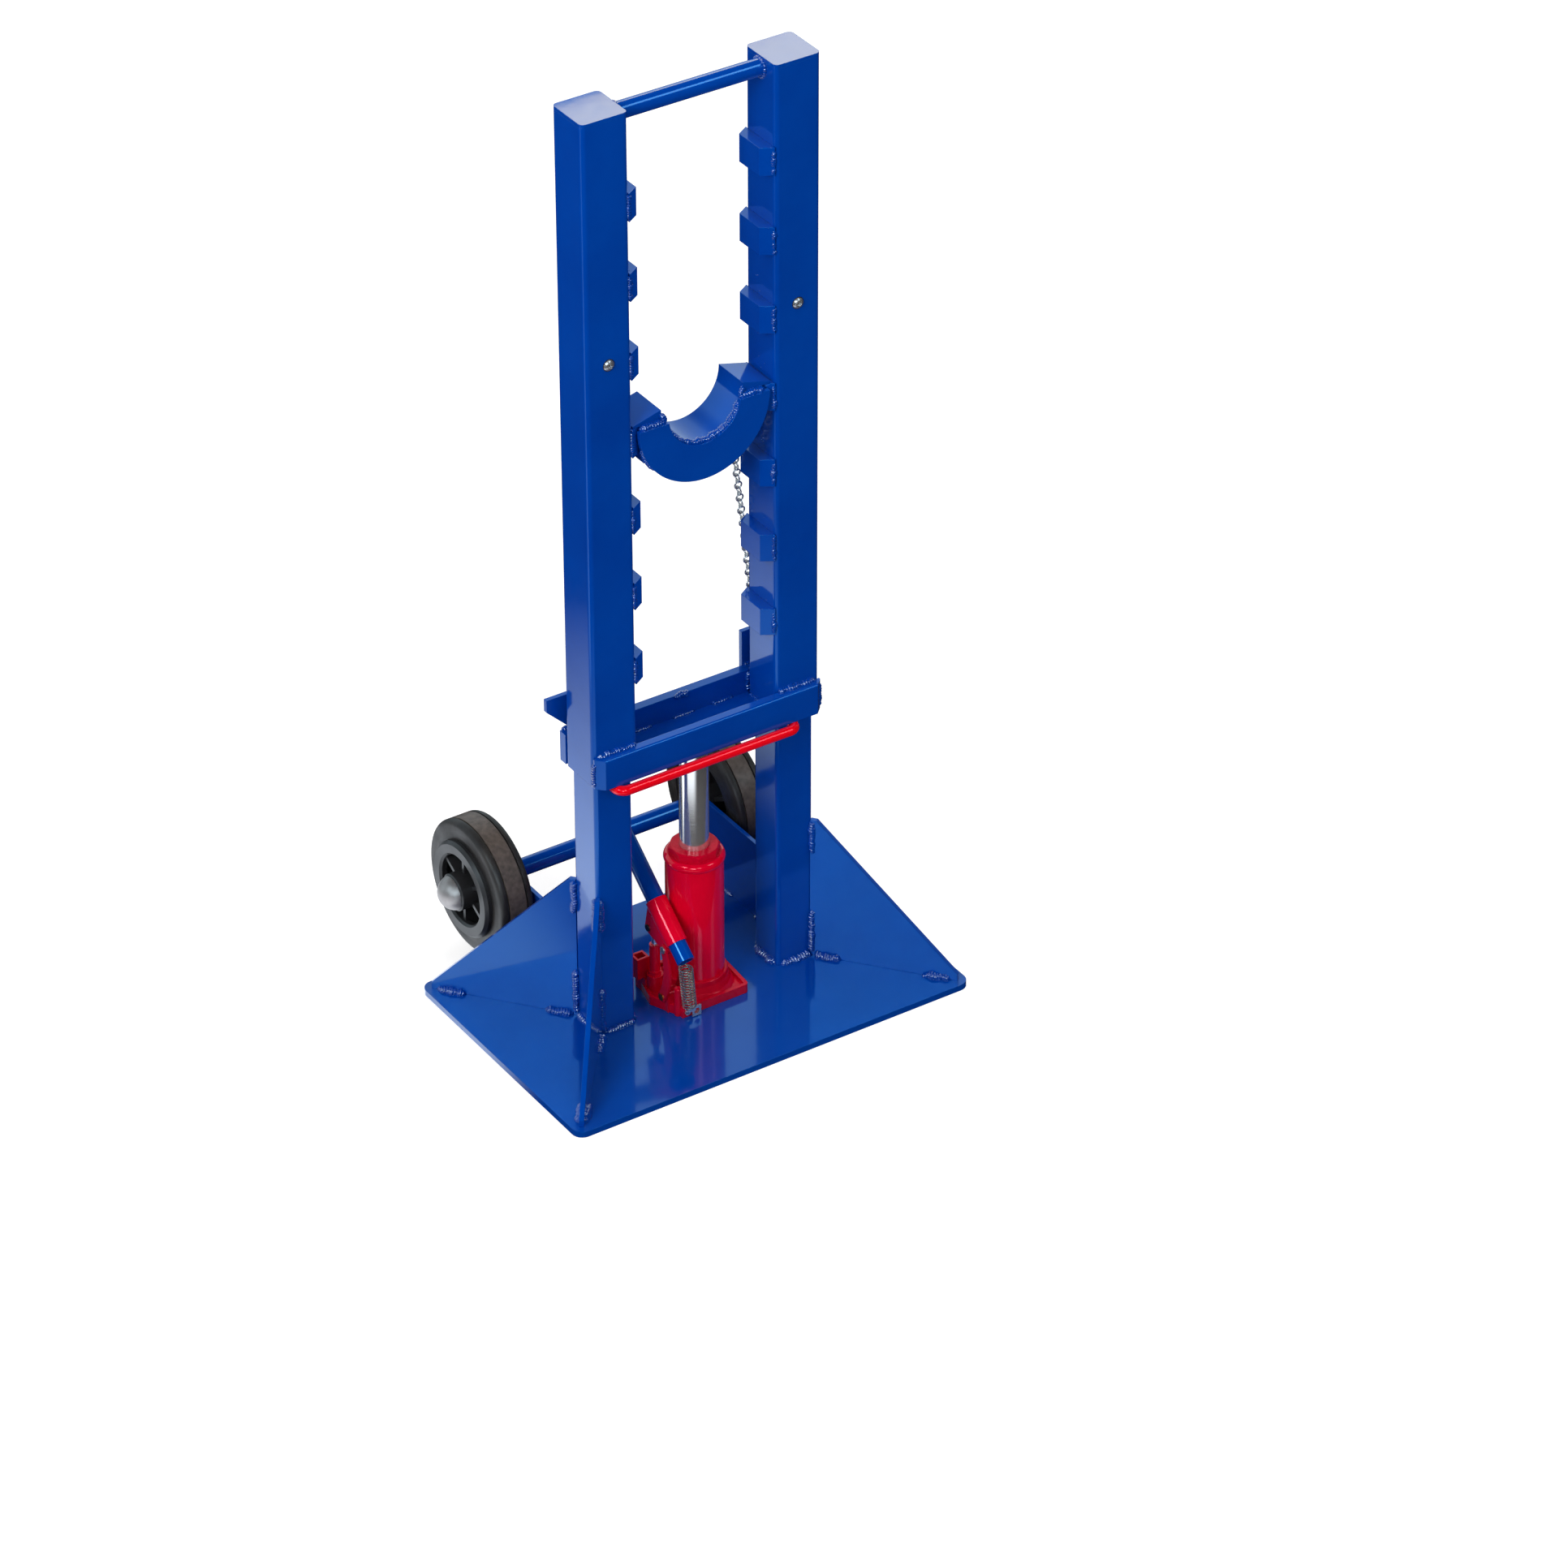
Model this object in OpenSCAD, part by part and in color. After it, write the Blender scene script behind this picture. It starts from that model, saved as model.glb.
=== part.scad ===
// Hydraulic stand for unrolling cable drums, shown with its lifting frame raised.
// X runs left to right, the front faces -Y, and Z is up.
// The origin is the centre of the base plate's underside.

/* [Base] */
// Width of the base plate
base_w = 550; // [500:5:650]
// Depth of the base plate
base_d = 355; // [330:5:420]
// Thickness of the base plate
base_t = 8; // [6:1:14]
// Corner radius of the base plate
base_corner_r = 14; // [6:1:24]

/* [Columns] */
// Distance between the two column axes
column_pitch = 250; // [240:2:290]
// Outside width of a column
column_w = 50; // [46:1:52]
// Wall of a column
column_wall = 3; // [2:0.5:5]
// Outside corner radius of a column
column_corner_r = 5; // [4:0.5:7]
// Height of a column above the base plate
column_h = 1042; // [980:1:1050]
// Thickness of a gusset
gusset_t = 6; // [4:1:10]
// Height of a gusset at the column
gusset_h = 194; // [150:1:200]
// Height of a gusset at its foot
gusset_foot_h = 9; // [5:1:20]
// Distance of a gusset's foot from the ends of the base plate
gusset_inset = 11; // [6:1:20]

/* [Lifting frame] */
// Outside width of a post
post_w = 60; // [60:1:66]
// Wall of a post
post_wall = 3; // [2:0.5:4]
// Outside corner radius of a post
post_corner_r = 6; // [5:0.5:9]
// Length of a post without its cap
post_h = 852; // [840:1:900]
// Thickness of a post's cap
post_cap_t = 4; // [3:1:8]
// Length of a guide pad inside a post
pad_h = 60; // [40:1:80]
// Height of the lower guide pads above the frame's foot
pad_low_h = 8; // [2:1:20]
// Height of the upper guide pads' screws above the frame's foot
pad_screw_h = 550; // [480:1:560]
// Diameter of the pad screws
pad_screw_d = 8; // [6:1:8]
// Diameter of the round bar that ties the posts at the top
top_bar_d = 21; // [16:1:26]
// Distance from the top of the caps down to the bar's axis
top_bar_drop = 13.6; // [13:0.1:30]
// Height of the flat bars across the posts' feet
foot_bar_h = 40; // [30:1:60]
// Thickness of the flat bars
foot_bar_t = 12; // [8:1:16]
// Bevel on the ends of the front bar
foot_bar_bevel = 9.4; // [2:0.2:10]
// Thickness of the plate that the ram lifts
seat_t = 10; // [6:1:16]
// Diameter of the red bow's rod
bow_d = 12; // [8:1:14]
// Length of the bow over its bends
bow_w = 256; // [200:2:260]
// How far the bow sits to the left of the middle
bow_shift = 7.5; // [0:0.5:20]
// Gap between the front bar and the middle of the bow's rod
bow_reach = 5; // [0:0.5:20]
// Bend radius of the bow's rod axis
bow_bend_r = 11; // [8:0.5:14]

/* [Bracket steps] */
// Number of steps on each post
step_count = 7; // [3:1:7]
// Distance from the highest step's top up to the top of its post
top_step_drop = 97; // [90:1:160]
// Height of a step
step_h = 35; // [20:1:50]
// How far a step stands out from its post
step_out = 15; // [10:0.5:20]
// Length of a step along its free face
step_len = 40; // [30:1:44]
// How far each end of a step slants outwards to the post
step_flare = 9.5; // [5:0.5:9.5]
// Height of the lowest step's top above the frame's foot
first_step_h = 155; // [100:1:180]
// Number of the step that carries the saddle, counted from the bottom
saddle_step = 4; // [2:1:6]

/* [Saddle] */
// Radius of the half-round seat for the spindle
saddle_r = 54.5; // [40:0.5:60]
// Length of the saddle body along the spindle
saddle_len = 50; // [40:1:54]
// Height of the saddle body above the step it rests on
saddle_rise = 12; // [12:0.5:20]
// Slope of the saddle's shoulders in degrees
shoulder_slope = 15; // [5:1:15]
// Wall left under the seat
saddle_floor = 7; // [5:0.5:12]
// How far each shoulder reaches over its step
saddle_reach = 12; // [8:0.5:14]
// Outside radius of the half-ring plate
ring_r = 87; // [80:0.5:87]
// Inside radius of the half-ring plate
ring_bore_r = 48; // [40:0.5:54]
// Thickness of the half-ring plate
ring_t = 6; // [4:0.5:10]
// Distance from the saddle's top down to the half-ring plate's top
ring_drop = 17; // [10:0.5:20]
// Height of the half-ring plate's bore centre above its top
ring_bore_rise = 7; // [0:0.5:9]

/* [Chain] */
// Diameter of the chain's wire
chain_wire_d = 2; // [1.6:0.1:2.4]
// Outside width of a loop
chain_loop_w = 11; // [10:0.5:13]
// Aimed distance from knot to knot
chain_pitch = 18.5; // [17:0.5:22]
// Height of the chain's lug above the frame's foot
chain_lug_h = 123.3; // [100:0.1:180]
// Distance of the chain's lug inwards from its post's axis
chain_lug_in = 14.5; // [8:0.5:18]
// Distance of the lug's hole behind its post
chain_lug_out = 14; // [12:0.5:18]
// Distance of the chain's upper end to the right of the middle
chain_top_x = 65; // [50:1:70]
// Distance of the chain's upper end behind the middle of the saddle
chain_top_y = 20; // [5:1:20]

/* [Wheels] */
// Diameter of a wheel
wheel_d = 170; // [150:1:180]
// Width of a tyre
tyre_w = 45; // [35:1:50]
// Diameter of the tyre's seat on the rim
tyre_seat_d = 120; // [110:1:130]
// Gap between a wheel and the ground while the stand stands flat
wheel_lift = 13; // [5:1:20]
// Distance of the axle behind the base plate
axle_back = 30.5; // [20:0.5:60]
// Diameter of the stub axle
stub_d = 20; // [16:1:24]
// Diameter of the cross tube between the wheel brackets
axle_tube_d = 22; // [22:1:30]
// Thickness of a wheel bracket
bracket_t = 5; // [4:0.5:8]
// Distance from a column's axis out to the bracket's inner face
bracket_offset = 10; // [6:1:14]
// Number of spokes in a rim
spoke_count = 6; // [3:1:10]
// Thickness of a spoke
spoke_t = 5; // [3:0.5:8]

/* [Jack] */
// Height of the closed jack
jack_closed_h = 208; // [206:0.5:230]
// Stroke of the ram
stroke = 145; // [80:1:150]
// Diameter of the ram
ram_d = 35.5; // [30:0.5:38]
// Diameter of the piston
piston_d = 44; // [42:0.5:48]
// Height of the piston
piston_h = 12; // [8:1:14]
// Outside diameter of the inner cylinder
cylinder_d = 52; // [52:0.5:58]
// Outside diameter of the reservoir
reservoir_d = 70; // [68:0.5:76]
// Wall of the reservoir
reservoir_wall = 3; // [2:0.5:4]
// Height of the jack's base up to the reservoir
jack_base_h = 27; // [24:1:30]
// Height of the jack's foot flange
flange_h = 12; // [10:0.5:14]
// Height of the top nut above the reservoir
nut_h = 9; // [6:0.5:12]
// Diameter over the corners of the top nut
nut_d = 62; // [56:0.5:64]

/* [Pump] */
// Distance of the pump to the left of the ram
pump_x = 51; // [50:0.5:60]
// Distance of the pump behind the ram
pump_y = 9; // [6:0.5:12]
// Outside diameter of the pump cylinder
pump_d = 13; // [12:0.5:16]
// Diameter of the plunger
plunger_d = 8; // [6:0.5:9]
// Height of the pump cylinder's top above the base plate
pump_h = 72; // [64:1:73]
// Diameter of the pivot pins
pin_d = 6; // [5:0.5:7]
// Width of a link
link_w = 13; // [11:0.5:14]
// Thickness of a link
link_t = 3; // [2:0.5:4]
// How far a link bows forwards between its pins
link_bow = 9; // [4:0.5:12]
// Distance between the yoke's cheeks
yoke_gap = 12; // [10:0.5:14]
// Thickness of a cheek
cheek_t = 3; // [2:0.5:4]
// Tilt of the pump lever above the horizontal, in degrees
lever_tilt = 38.5; // [34:0.5:42]
// Swing of the pump lever in degrees
lever_swing = 26; // [16:1:28]
// Diameter of the lever tube
lever_d = 22; // [18:0.5:24]
// Wall of the lever tube
lever_wall = 2; // [1.5:0.5:3]
// Length of the lever tube
lever_len = 300; // [250:5:420]
// Length of the lever's socket
socket_len = 58; // [50:1:70]
// Wall of the lever's socket
socket_wall = 2; // [1.5:0.5:3]
// Turns of the return spring
spring_turns = 15; // [8:1:18]
// Diameter of the spring's wire
spring_wire_d = 1.8; // [1.2:0.1:2.2]
// Outside diameter of the spring
spring_d = 18; // [14:0.5:20]

/* [Fits] */
// Gap between pieces that slide or swing past each other
slide_gap = 0.3; // [0.2:0.05:0.6]
// Radial gap between a shaft and its bore
shaft_gap = 0.05; // [0.02:0.01:0.1]

/* [Hidden] */
$fn = 64;

// Colours as the photograph shows them
deep_blue = [0.02, 0.22, 0.6];
jack_red = [0.78, 0.05, 0.15];
bright_red = [0.9, 0.02, 0.08];
steel = [0.75, 0.75, 0.77];
dark_steel = [0.25, 0.25, 0.27];
tyre_black = [0.12, 0.11, 0.11];
rim_black = [0.08, 0.08, 0.09];
bronze = [0.7, 0.5, 0.25];
pad_grey = [0.6, 0.6, 0.6];

// Heights of the frame, all from the raised ram
ram_top_z = base_t + jack_closed_h + stroke;
frame_z = ram_top_z + slide_gap;
frame_top_z = frame_z + post_h + post_cap_t;
column_x = column_pitch / 2;
post_inner_x = column_x - post_w / 2;
post_outer_x = column_x + post_w / 2;
step_inner_x = post_inner_x - step_out;
step_pitch = (post_h - first_step_h - top_step_drop) / (step_count - 1);
function step_top_z(i) = frame_z + first_step_h + i * step_pitch;

// Places of the guide pads and of the screws that hold them
pad_t = (post_w - 2 * post_wall - column_w) / 2 - slide_gap;
pad_low_z = frame_z + pad_low_h;
pad_screw_z = frame_z + pad_screw_h;
pad_screw_r = pad_screw_d / 2;
screw_head_r = 1.75 * pad_screw_r;
screw_head_h = pad_screw_r;

// Bow under the front bar
bow_y = post_w / 2 + foot_bar_t + bow_reach;
bow_z = frame_z - bow_d / 2;
bow_tail_y = post_w / 2;

// Lugs behind the posts
lug_t = 6;
lug_h = 70;
lug_drop = 16;
lug_out = 17;
lug_slant_in = 38;
lug_slant_h = 54;

// Wheels and axle
axle_y = base_d / 2 + axle_back;
axle_z = wheel_d / 2 + wheel_lift;
bracket_inner_x = column_x + bracket_offset;
bracket_outer_x = bracket_inner_x + bracket_t;
bracket_over = 16;
bracket_tail = 29;
bracket_under = 31;
collar_t = 2.7;
collar_r = stub_d / 2 + 4;
hub_x = bracket_outer_x + collar_t + slide_gap;
hub_len = tyre_w + 21;
tyre_x = hub_x + 2;
hub_r = 23.5;
bush_r = stub_d / 2 + 3;
cap_r = 21.5;
cap_h = 17;
stub_end_x = hub_x + hub_len + slide_gap + cap_h / 2;

// Saddle on its step
saddle_z = step_top_z(saddle_step - 1) + slide_gap;
saddle_top_z = saddle_z + saddle_rise;
saddle_bottom_z = saddle_top_z - saddle_r - saddle_floor;
saddle_half_w = step_inner_x - 2;
ring_z = saddle_top_z - ring_drop;
ring_bore_z = ring_z + ring_bore_rise;

// Jack body
jack_z = base_t;
ram_head_h = 6;
piston_rest = 3;
collar_over = 3.5;
reservoir_z = jack_z + jack_base_h;
nut_top_z = jack_z + jack_closed_h - ram_head_h;
reservoir_top_z = nut_top_z - nut_h;
nut_skirt_h = 4;
ram_len = jack_closed_h - jack_base_h - piston_rest;
ram_foot_z = ram_top_z - ram_len;
collar_top_r = reservoir_d / 2 + collar_over;
plug_r = 4;
plug_drop = 35;
plug_z = reservoir_top_z - plug_drop;

// Pump pivots in the side view, each as [y, z]
lever_foot_out = 59.6;
lever_foot_h = 86.6;
lever_foot = [-lever_foot_out, base_t + lever_foot_h];
pivot_along = 26;
pivot_sink = 3;
pivot_drop = lever_d / 2 + socket_wall + link_w / 2 - pivot_sink;
pivot = lever_point(pivot_along, -pivot_drop);
plunger_pin_at = [pump_y, pivot[1] + (pump_y - pivot[0]) * tan(lever_swing / 2)];
link_foot_out = 24;
link_foot_gap = 0.8;
link_foot = [-link_foot_out, jack_z + flange_h + link_w / 2 + link_foot_gap];
socket_from = 24;
socket_screw_at = 36;
socket_screw_r = 3;
link_inner = yoke_gap / 2 + cheek_t + slide_gap;
eye_slack = 1.2;
boss_wall = 3.5;
boss_h = 29;
boss_r = pump_d / 2 + boss_wall;
boss_top_z = jack_z + boss_h;
pump_foot_h = 11;
pump_floor = 3;
pump_foot_z = jack_z + pump_foot_h;
pump_bore_z = pump_foot_z + pump_floor;
pump_stroke = 2 * (plunger_pin_at[1] - pivot[1]);
plunger_foot_z = pump_bore_z + pump_stroke + 1;

// Return spring, from its hook on the tab to the mouth of the lever
spring_foot_h = 17;
spring_foot = [-44.2, -56, jack_z + spring_foot_h];
spring_head = [-pump_x, lever_foot[0] + 1, lever_foot[1] - 8];
spring_vec = spring_head - spring_foot;
spring_len = norm(spring_vec);
spring_sides = 8;
spring_rings = 16;

// Tab in front of the jack's foot, and the release valve
tab_w = 12;
tab_h = 14;
tab_t = 2;
tab_hole_r = 3.8;
tab_x = -34.5;
tab_y = -57;
foot_front_y = -50;
valve_x = -45;
valve_z = jack_z + 7;
valve_r = 3.5;
valve_len = 18;
valve_boss_r = 6.5;

// Chain between the saddle and the lug behind the right post
chain_r = chain_wire_d / 2;
loop_r = (chain_loop_w - chain_wire_d) / 2;
chain_lug_x = column_x - chain_lug_in;
chain_lug_y = post_w / 2 + chain_lug_out;
chain_lug_z = frame_z + chain_lug_h;
chain_lug_t = 2.5;
chain_lug_hole_r = 4.5;
chain_lug_rim = 3;
chain_top = [chain_top_x, chain_top_y, saddle_bottom_z - slide_gap];
chain_end = [chain_lug_x, chain_lug_y, chain_lug_z + chain_lug_hole_r - 2 * chain_r];
chain_vec = chain_end - chain_top;
chain_run = norm(chain_vec) - 3 * chain_r - 2 * shaft_gap;
link_count = round(chain_run / chain_pitch);
half_pitch = chain_run / link_count / 2;

// Point in the side view at a distance along the lever and above its axis
function lever_point(along, up) = [
    lever_foot[0] + along * cos(lever_tilt) - up * sin(lever_tilt),
    lever_foot[1] + along * sin(lever_tilt) + up * cos(lever_tilt)
];

// Rectangle with rounded corners, centred
module rounded_rect(w, d, r) {
    square([w - 2 * r, d], center = true);
    square([w, d - 2 * r], center = true);
    for (sx = [-1, 1], sy = [-1, 1]) {
        translate([sx * (w / 2 - r), sy * (d / 2 - r)]) circle(r = r);
    }
}

// Polygon grown by r all round, with round corners. A corner that stands a hair proud of the
// edges crosses them cleanly where a mere touch would leave a sliver.
module rounded_outline(points, r, proud = 0) {
    count = len(points);
    polygon(points);
    for (i = [0:count - 1]) {
        a = points[i];
        b = points[(i + 1) % count];
        translate(a) circle(r = r + proud);
        translate(a) rotate(atan2(b[1] - a[1], b[0] - a[0])) translate([0, -r]) square([norm(b - a), 2 * r]);
    }
}

// Extrusion of a side view [y, z] along X, centred on x = 0
module along_x(length) {
    rotate([90, 0, 90]) translate([0, 0, -length / 2]) linear_extrude(height = length) children();
}

// Extrusion of a front view [x, z] along Y, centred on y = 0
module along_y(length) {
    rotate([90, 0, 0]) translate([0, 0, -length / 2]) linear_extrude(height = length) children();
}

// Rod along X between two x places
module rod_x(x0, x1, r) {
    translate([x0, 0, 0]) rotate([0, 90, 0]) cylinder(h = x1 - x0, r = r);
}

module square_tube(w, wall, r, h) {
    difference() {
        linear_extrude(height = h) rounded_rect(w, w, r);
        translate([0, 0, -1]) linear_extrude(height = h + 2)
            rounded_rect(w - 2 * wall, w - 2 * wall, r - wall + 0.5);
    }
}

// Places what is modelled on the right on the side given, 1 or -1
module on_side(side) {
    mirror([side < 0 ? 1 : 0, 0, 0]) children();
}

module base_plate() {
    color(deep_blue) linear_extrude(height = base_t) rounded_rect(base_w, base_d, base_corner_r);
}

module column(side) {
    color(deep_blue) translate([side * column_x, 0, base_t])
        square_tube(column_w, column_wall, column_corner_r, column_h);
}

// Triangular plate from a column's corner to the base plate's corner
module gusset(side_x, side_y) {
    foot_x = base_w / 2 - gusset_inset;
    foot_y = base_d / 2 - gusset_inset;
    centre_x = column_x + column_w / 2 - column_corner_r;
    centre_y = column_w / 2 - column_corner_r;
    angle = atan2(foot_y - centre_y, foot_x - centre_x);
    length = norm([foot_x - centre_x, foot_y - centre_y]);
    top_flat = 8;
    color(deep_blue) mirror([side_x < 0 ? 1 : 0, 0, 0]) mirror([0, side_y < 0 ? 1 : 0, 0])
        translate([centre_x, centre_y, base_t]) rotate([0, 0, angle]) along_y(gusset_t) polygon([
            [column_corner_r, 0], [length, 0], [length, gusset_foot_h],
            [column_corner_r + top_flat, gusset_h], [column_corner_r, gusset_h]
        ]);
}

// Plate that carries one end of the axle
module bracket(side) {
    back_y = axle_y + bracket_tail;
    top_z = axle_z + bracket_over;
    low_z = axle_z - bracket_under;
    color(deep_blue) on_side(side) difference() {
        translate([(bracket_inner_x + bracket_outer_x) / 2, 0, 0]) along_x(bracket_t) polygon([
            [column_w / 2, base_t], [base_d / 2, base_t], [back_y - 6, low_z],
            [back_y, low_z + 8], [back_y, top_z], [column_w / 2, top_z]
        ]);
        translate([0, axle_y, axle_z]) rod_x(bracket_inner_x - 1, bracket_outer_x + 1, stub_d / 2 + shaft_gap);
    }
}

module axle() {
    color(deep_blue) translate([0, axle_y, axle_z]) {
        rod_x(-bracket_inner_x, bracket_inner_x, axle_tube_d / 2);
        for (side = [-1, 1]) {
            on_side(side) rod_x(bracket_inner_x, stub_end_x, stub_d / 2);
            on_side(side) rod_x(bracket_outer_x, bracket_outer_x + collar_t, collar_r);
        }
    }
}

// Turns a profile [r, x] round the axle of one wheel
module wheel_part(side, from_x) {
    on_side(side) translate([from_x, axle_y, axle_z]) rotate([0, 90, 0]) children();
}

module tyre(side) {
    tread_r = wheel_d / 2;
    shoulder_r = 7;
    groove_w = 2;
    groove_deep = 2.5;
    groove_in = 9;
    color(tyre_black) wheel_part(side, tyre_x) rotate_extrude() difference() {
        translate([tread_r / 2, tyre_w / 2]) rounded_rect(tread_r, tyre_w, shoulder_r);
        translate([-1, -1]) square([tyre_seat_d / 2 + 1, tyre_w + 2]);
        for (y = [groove_in, tyre_w - groove_in - groove_w]) {
            translate([tread_r - groove_deep, y]) square([groove_deep + 1, groove_w]);
        }
    }
}

// Moulded rim: barrel, proud outer lip, web, spokes and long hub
module rim(side) {
    seat_r = tyre_seat_d / 2;
    barrel_r = seat_r - 8;
    mouth_r = seat_r - 15.5;
    lip_r = seat_r + 1.5;
    start = tyre_x - hub_x;
    face = start + tyre_w;
    lip = 9;
    web = face - 25;
    color(rim_black) wheel_part(side, hub_x) {
        rotate_extrude() polygon([
            [barrel_r, start + 2], [seat_r, start + 2], [seat_r, face], [lip_r, face],
            [lip_r, face + lip - 4], [lip_r - 3.5, face + lip], [mouth_r + 2.5, face + lip],
            [mouth_r, face + lip - 3], [mouth_r, face - 1], [barrel_r, face - 5]
        ]);
        rotate_extrude() translate([hub_r - 2, web]) square([barrel_r - hub_r + 3, 5]);
        rotate_extrude() polygon([
            [bush_r, 0], [hub_r - 1, 0], [hub_r, 1], [hub_r, hub_len - 2], [hub_r - 2, hub_len], [bush_r, hub_len]
        ]);
        for (i = [0:spoke_count - 1]) {
            rotate([0, 0, i * 360 / spoke_count]) translate([hub_r - 2, -spoke_t / 2, start + 4])
                cube([barrel_r - hub_r + 3, spoke_t, tyre_w - 1]);
        }
    }
}

module bush(side) {
    color(bronze) wheel_part(side, hub_x) difference() {
        cylinder(h = hub_len, r = bush_r);
        translate([0, 0, -1]) cylinder(h = hub_len + 2, r = stub_d / 2 + shaft_gap);
    }
}

// Domed cap pressed on the end of the axle
module cap(side) {
    foot = hub_x + hub_len + slide_gap;
    dome_r = (cap_r * cap_r + cap_h * cap_h) / (2 * cap_h);
    color(steel) wheel_part(side, foot) difference() {
        intersection() {
            translate([0, 0, cap_h - dome_r]) sphere(r = dome_r);
            cylinder(h = cap_h + 1, r = cap_r + 1);
        }
        translate([0, 0, -1]) cylinder(h = stub_end_x - foot + 1, r = stub_d / 2);
    }
}

module post(side) {
    color(deep_blue) difference() {
        translate([side * column_x, 0, frame_z]) square_tube(post_w, post_wall, post_corner_r, post_h);
        translate([side * column_x, -post_w / 2, pad_screw_z]) rotate([90, 0, 0])
            cylinder(h = 4 * post_wall, r = pad_screw_r + shaft_gap, center = true);
    }
}

module post_caps() {
    color(deep_blue) for (side = [-1, 1]) {
        translate([side * column_x, 0, frame_z + post_h]) linear_extrude(height = post_cap_t)
            rounded_rect(post_w, post_w, post_corner_r);
    }
}

module top_bar() {
    color(deep_blue) translate([0, 0, frame_top_z - top_bar_drop])
        rod_x(-post_inner_x, post_inner_x, top_bar_d / 2);
}

// Flat bar across the posts' front faces, with bevelled ends and a rounded top edge
module front_bar() {
    edge_r = 3;
    front_y = -post_w / 2 - foot_bar_t;
    color(deep_blue) intersection() {
        along_x(2 * post_outer_x) union() {
            translate([front_y, frame_z]) square([foot_bar_t, foot_bar_h - edge_r]);
            translate([front_y + edge_r, frame_z]) square([foot_bar_t - edge_r, foot_bar_h]);
            translate([front_y + edge_r, frame_z + foot_bar_h - edge_r]) circle(r = edge_r);
        }
        translate([0, 0, frame_z - 1]) linear_extrude(height = foot_bar_h + 2) polygon([
            [-post_outer_x, -post_w / 2], [-post_outer_x, front_y + foot_bar_bevel],
            [foot_bar_bevel - post_outer_x, front_y], [post_outer_x - foot_bar_bevel, front_y],
            [post_outer_x, front_y + foot_bar_bevel], [post_outer_x, -post_w / 2]
        ]);
    }
}

module rear_bar() {
    color(deep_blue) translate([-post_outer_x, post_w / 2, frame_z])
        cube([2 * post_outer_x, foot_bar_t, foot_bar_h]);
}

// Plate between the posts' feet that the ram pushes up
module seat_plate() {
    color(deep_blue) translate([-post_inner_x, -post_w / 2, frame_z])
        cube([2 * post_inner_x, post_w, seat_t]);
}

// Bevelled lugs on the rear bar, one behind each post
module rear_lugs() {
    y = post_w / 2 + foot_bar_t + lug_t / 2;
    low_z = frame_z + lug_drop;
    color(deep_blue) for (side = [-1, 1]) {
        on_side(side) translate([0, y, 0]) along_y(lug_t) polygon([
            [post_inner_x, low_z], [post_outer_x - lug_slant_in, low_z],
            [post_outer_x + lug_out, low_z + lug_slant_h],
            [post_outer_x + lug_out, low_z + lug_h], [post_inner_x, low_z + lug_h]
        ]);
    }
}

// Row of bracket steps on the inner face of one post
module steps(side) {
    half = step_len / 2;
    color(deep_blue) on_side(side) for (i = [0:step_count - 1]) {
        translate([0, 0, step_top_z(i) - step_h]) linear_extrude(height = step_h) polygon([
            [step_inner_x, -half], [post_inner_x, -half - step_flare],
            [post_inner_x, half + step_flare], [step_inner_x, half]
        ]);
    }
}

// Bent rod welded under the front bar
module bow() {
    reach_x = bow_w / 2 - bow_d / 2;
    color(bright_red) translate([-bow_shift, 0, bow_z]) {
        translate([0, -bow_y, 0]) rod_x(bow_bend_r - reach_x, reach_x - bow_bend_r, bow_d / 2);
        for (side = [-1, 1]) {
            on_side(side) translate([reach_x, -bow_tail_y, 0]) rotate([90, 0, 0])
                cylinder(h = bow_y - bow_tail_y - bow_bend_r, r = bow_d / 2);
            on_side(side) translate([reach_x - bow_bend_r, bow_bend_r - bow_y, 0]) rotate([0, 0, -90])
                rotate_extrude(angle = 90) translate([bow_bend_r, 0]) circle(r = bow_d / 2);
        }
    }
}

// Plastic sleeves inside the posts that slide on the columns
module guide_pads() {
    outer = post_w - 2 * post_wall;
    inner = column_w + 2 * slide_gap;
    color(pad_grey) for (side = [-1, 1], z = [pad_low_z, pad_screw_z - pad_h / 2]) {
        translate([side * column_x, 0, z]) difference() {
            linear_extrude(height = pad_h) rounded_rect(outer, outer, post_corner_r - post_wall + 0.5);
            translate([0, 0, -1]) linear_extrude(height = pad_h + 2)
                rounded_rect(inner, inner, column_corner_r + slide_gap);
            translate([0, -outer / 2, pad_screw_z - z]) rotate([90, 0, 0])
                cylinder(h = 3 * pad_t, r = pad_screw_r + shaft_gap, center = true);
        }
    }
}

// Button-head screws through the posts' fronts into the guide pads
module post_screws() {
    dome_r = (screw_head_r * screw_head_r + screw_head_h * screw_head_h) / (2 * screw_head_h);
    socket_r = 2.9;
    color(steel) for (side = [-1, 1]) {
        translate([side * column_x, -post_w / 2, pad_screw_z]) rotate([90, 0, 0]) difference() {
            union() {
                translate([0, 0, -post_wall - pad_t / 2]) cylinder(h = post_wall + pad_t, r = pad_screw_r);
                intersection() {
                    translate([0, 0, screw_head_h - dome_r]) sphere(r = dome_r);
                    cylinder(h = screw_head_h + 1, r = screw_head_r + 1);
                }
            }
            translate([0, 0, screw_head_h - 2.4]) cylinder(h = 4, r = socket_r, $fn = 6);
        }
    }
}

// Lug behind the right post with a hole for the chain's last loop
module chain_lug() {
    rim_r = chain_lug_hole_r + chain_lug_rim;
    color(deep_blue) translate([chain_lug_x, 0, 0]) difference() {
        along_x(chain_lug_t) union() {
            translate([chain_lug_y, chain_lug_z]) circle(r = rim_r);
            translate([post_w / 2, chain_lug_z - rim_r]) square([chain_lug_y - post_w / 2, 2 * rim_r]);
        }
        translate([0, chain_lug_y, chain_lug_z]) rod_x(-chain_lug_t, chain_lug_t, chain_lug_hole_r);
    }
}

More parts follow.
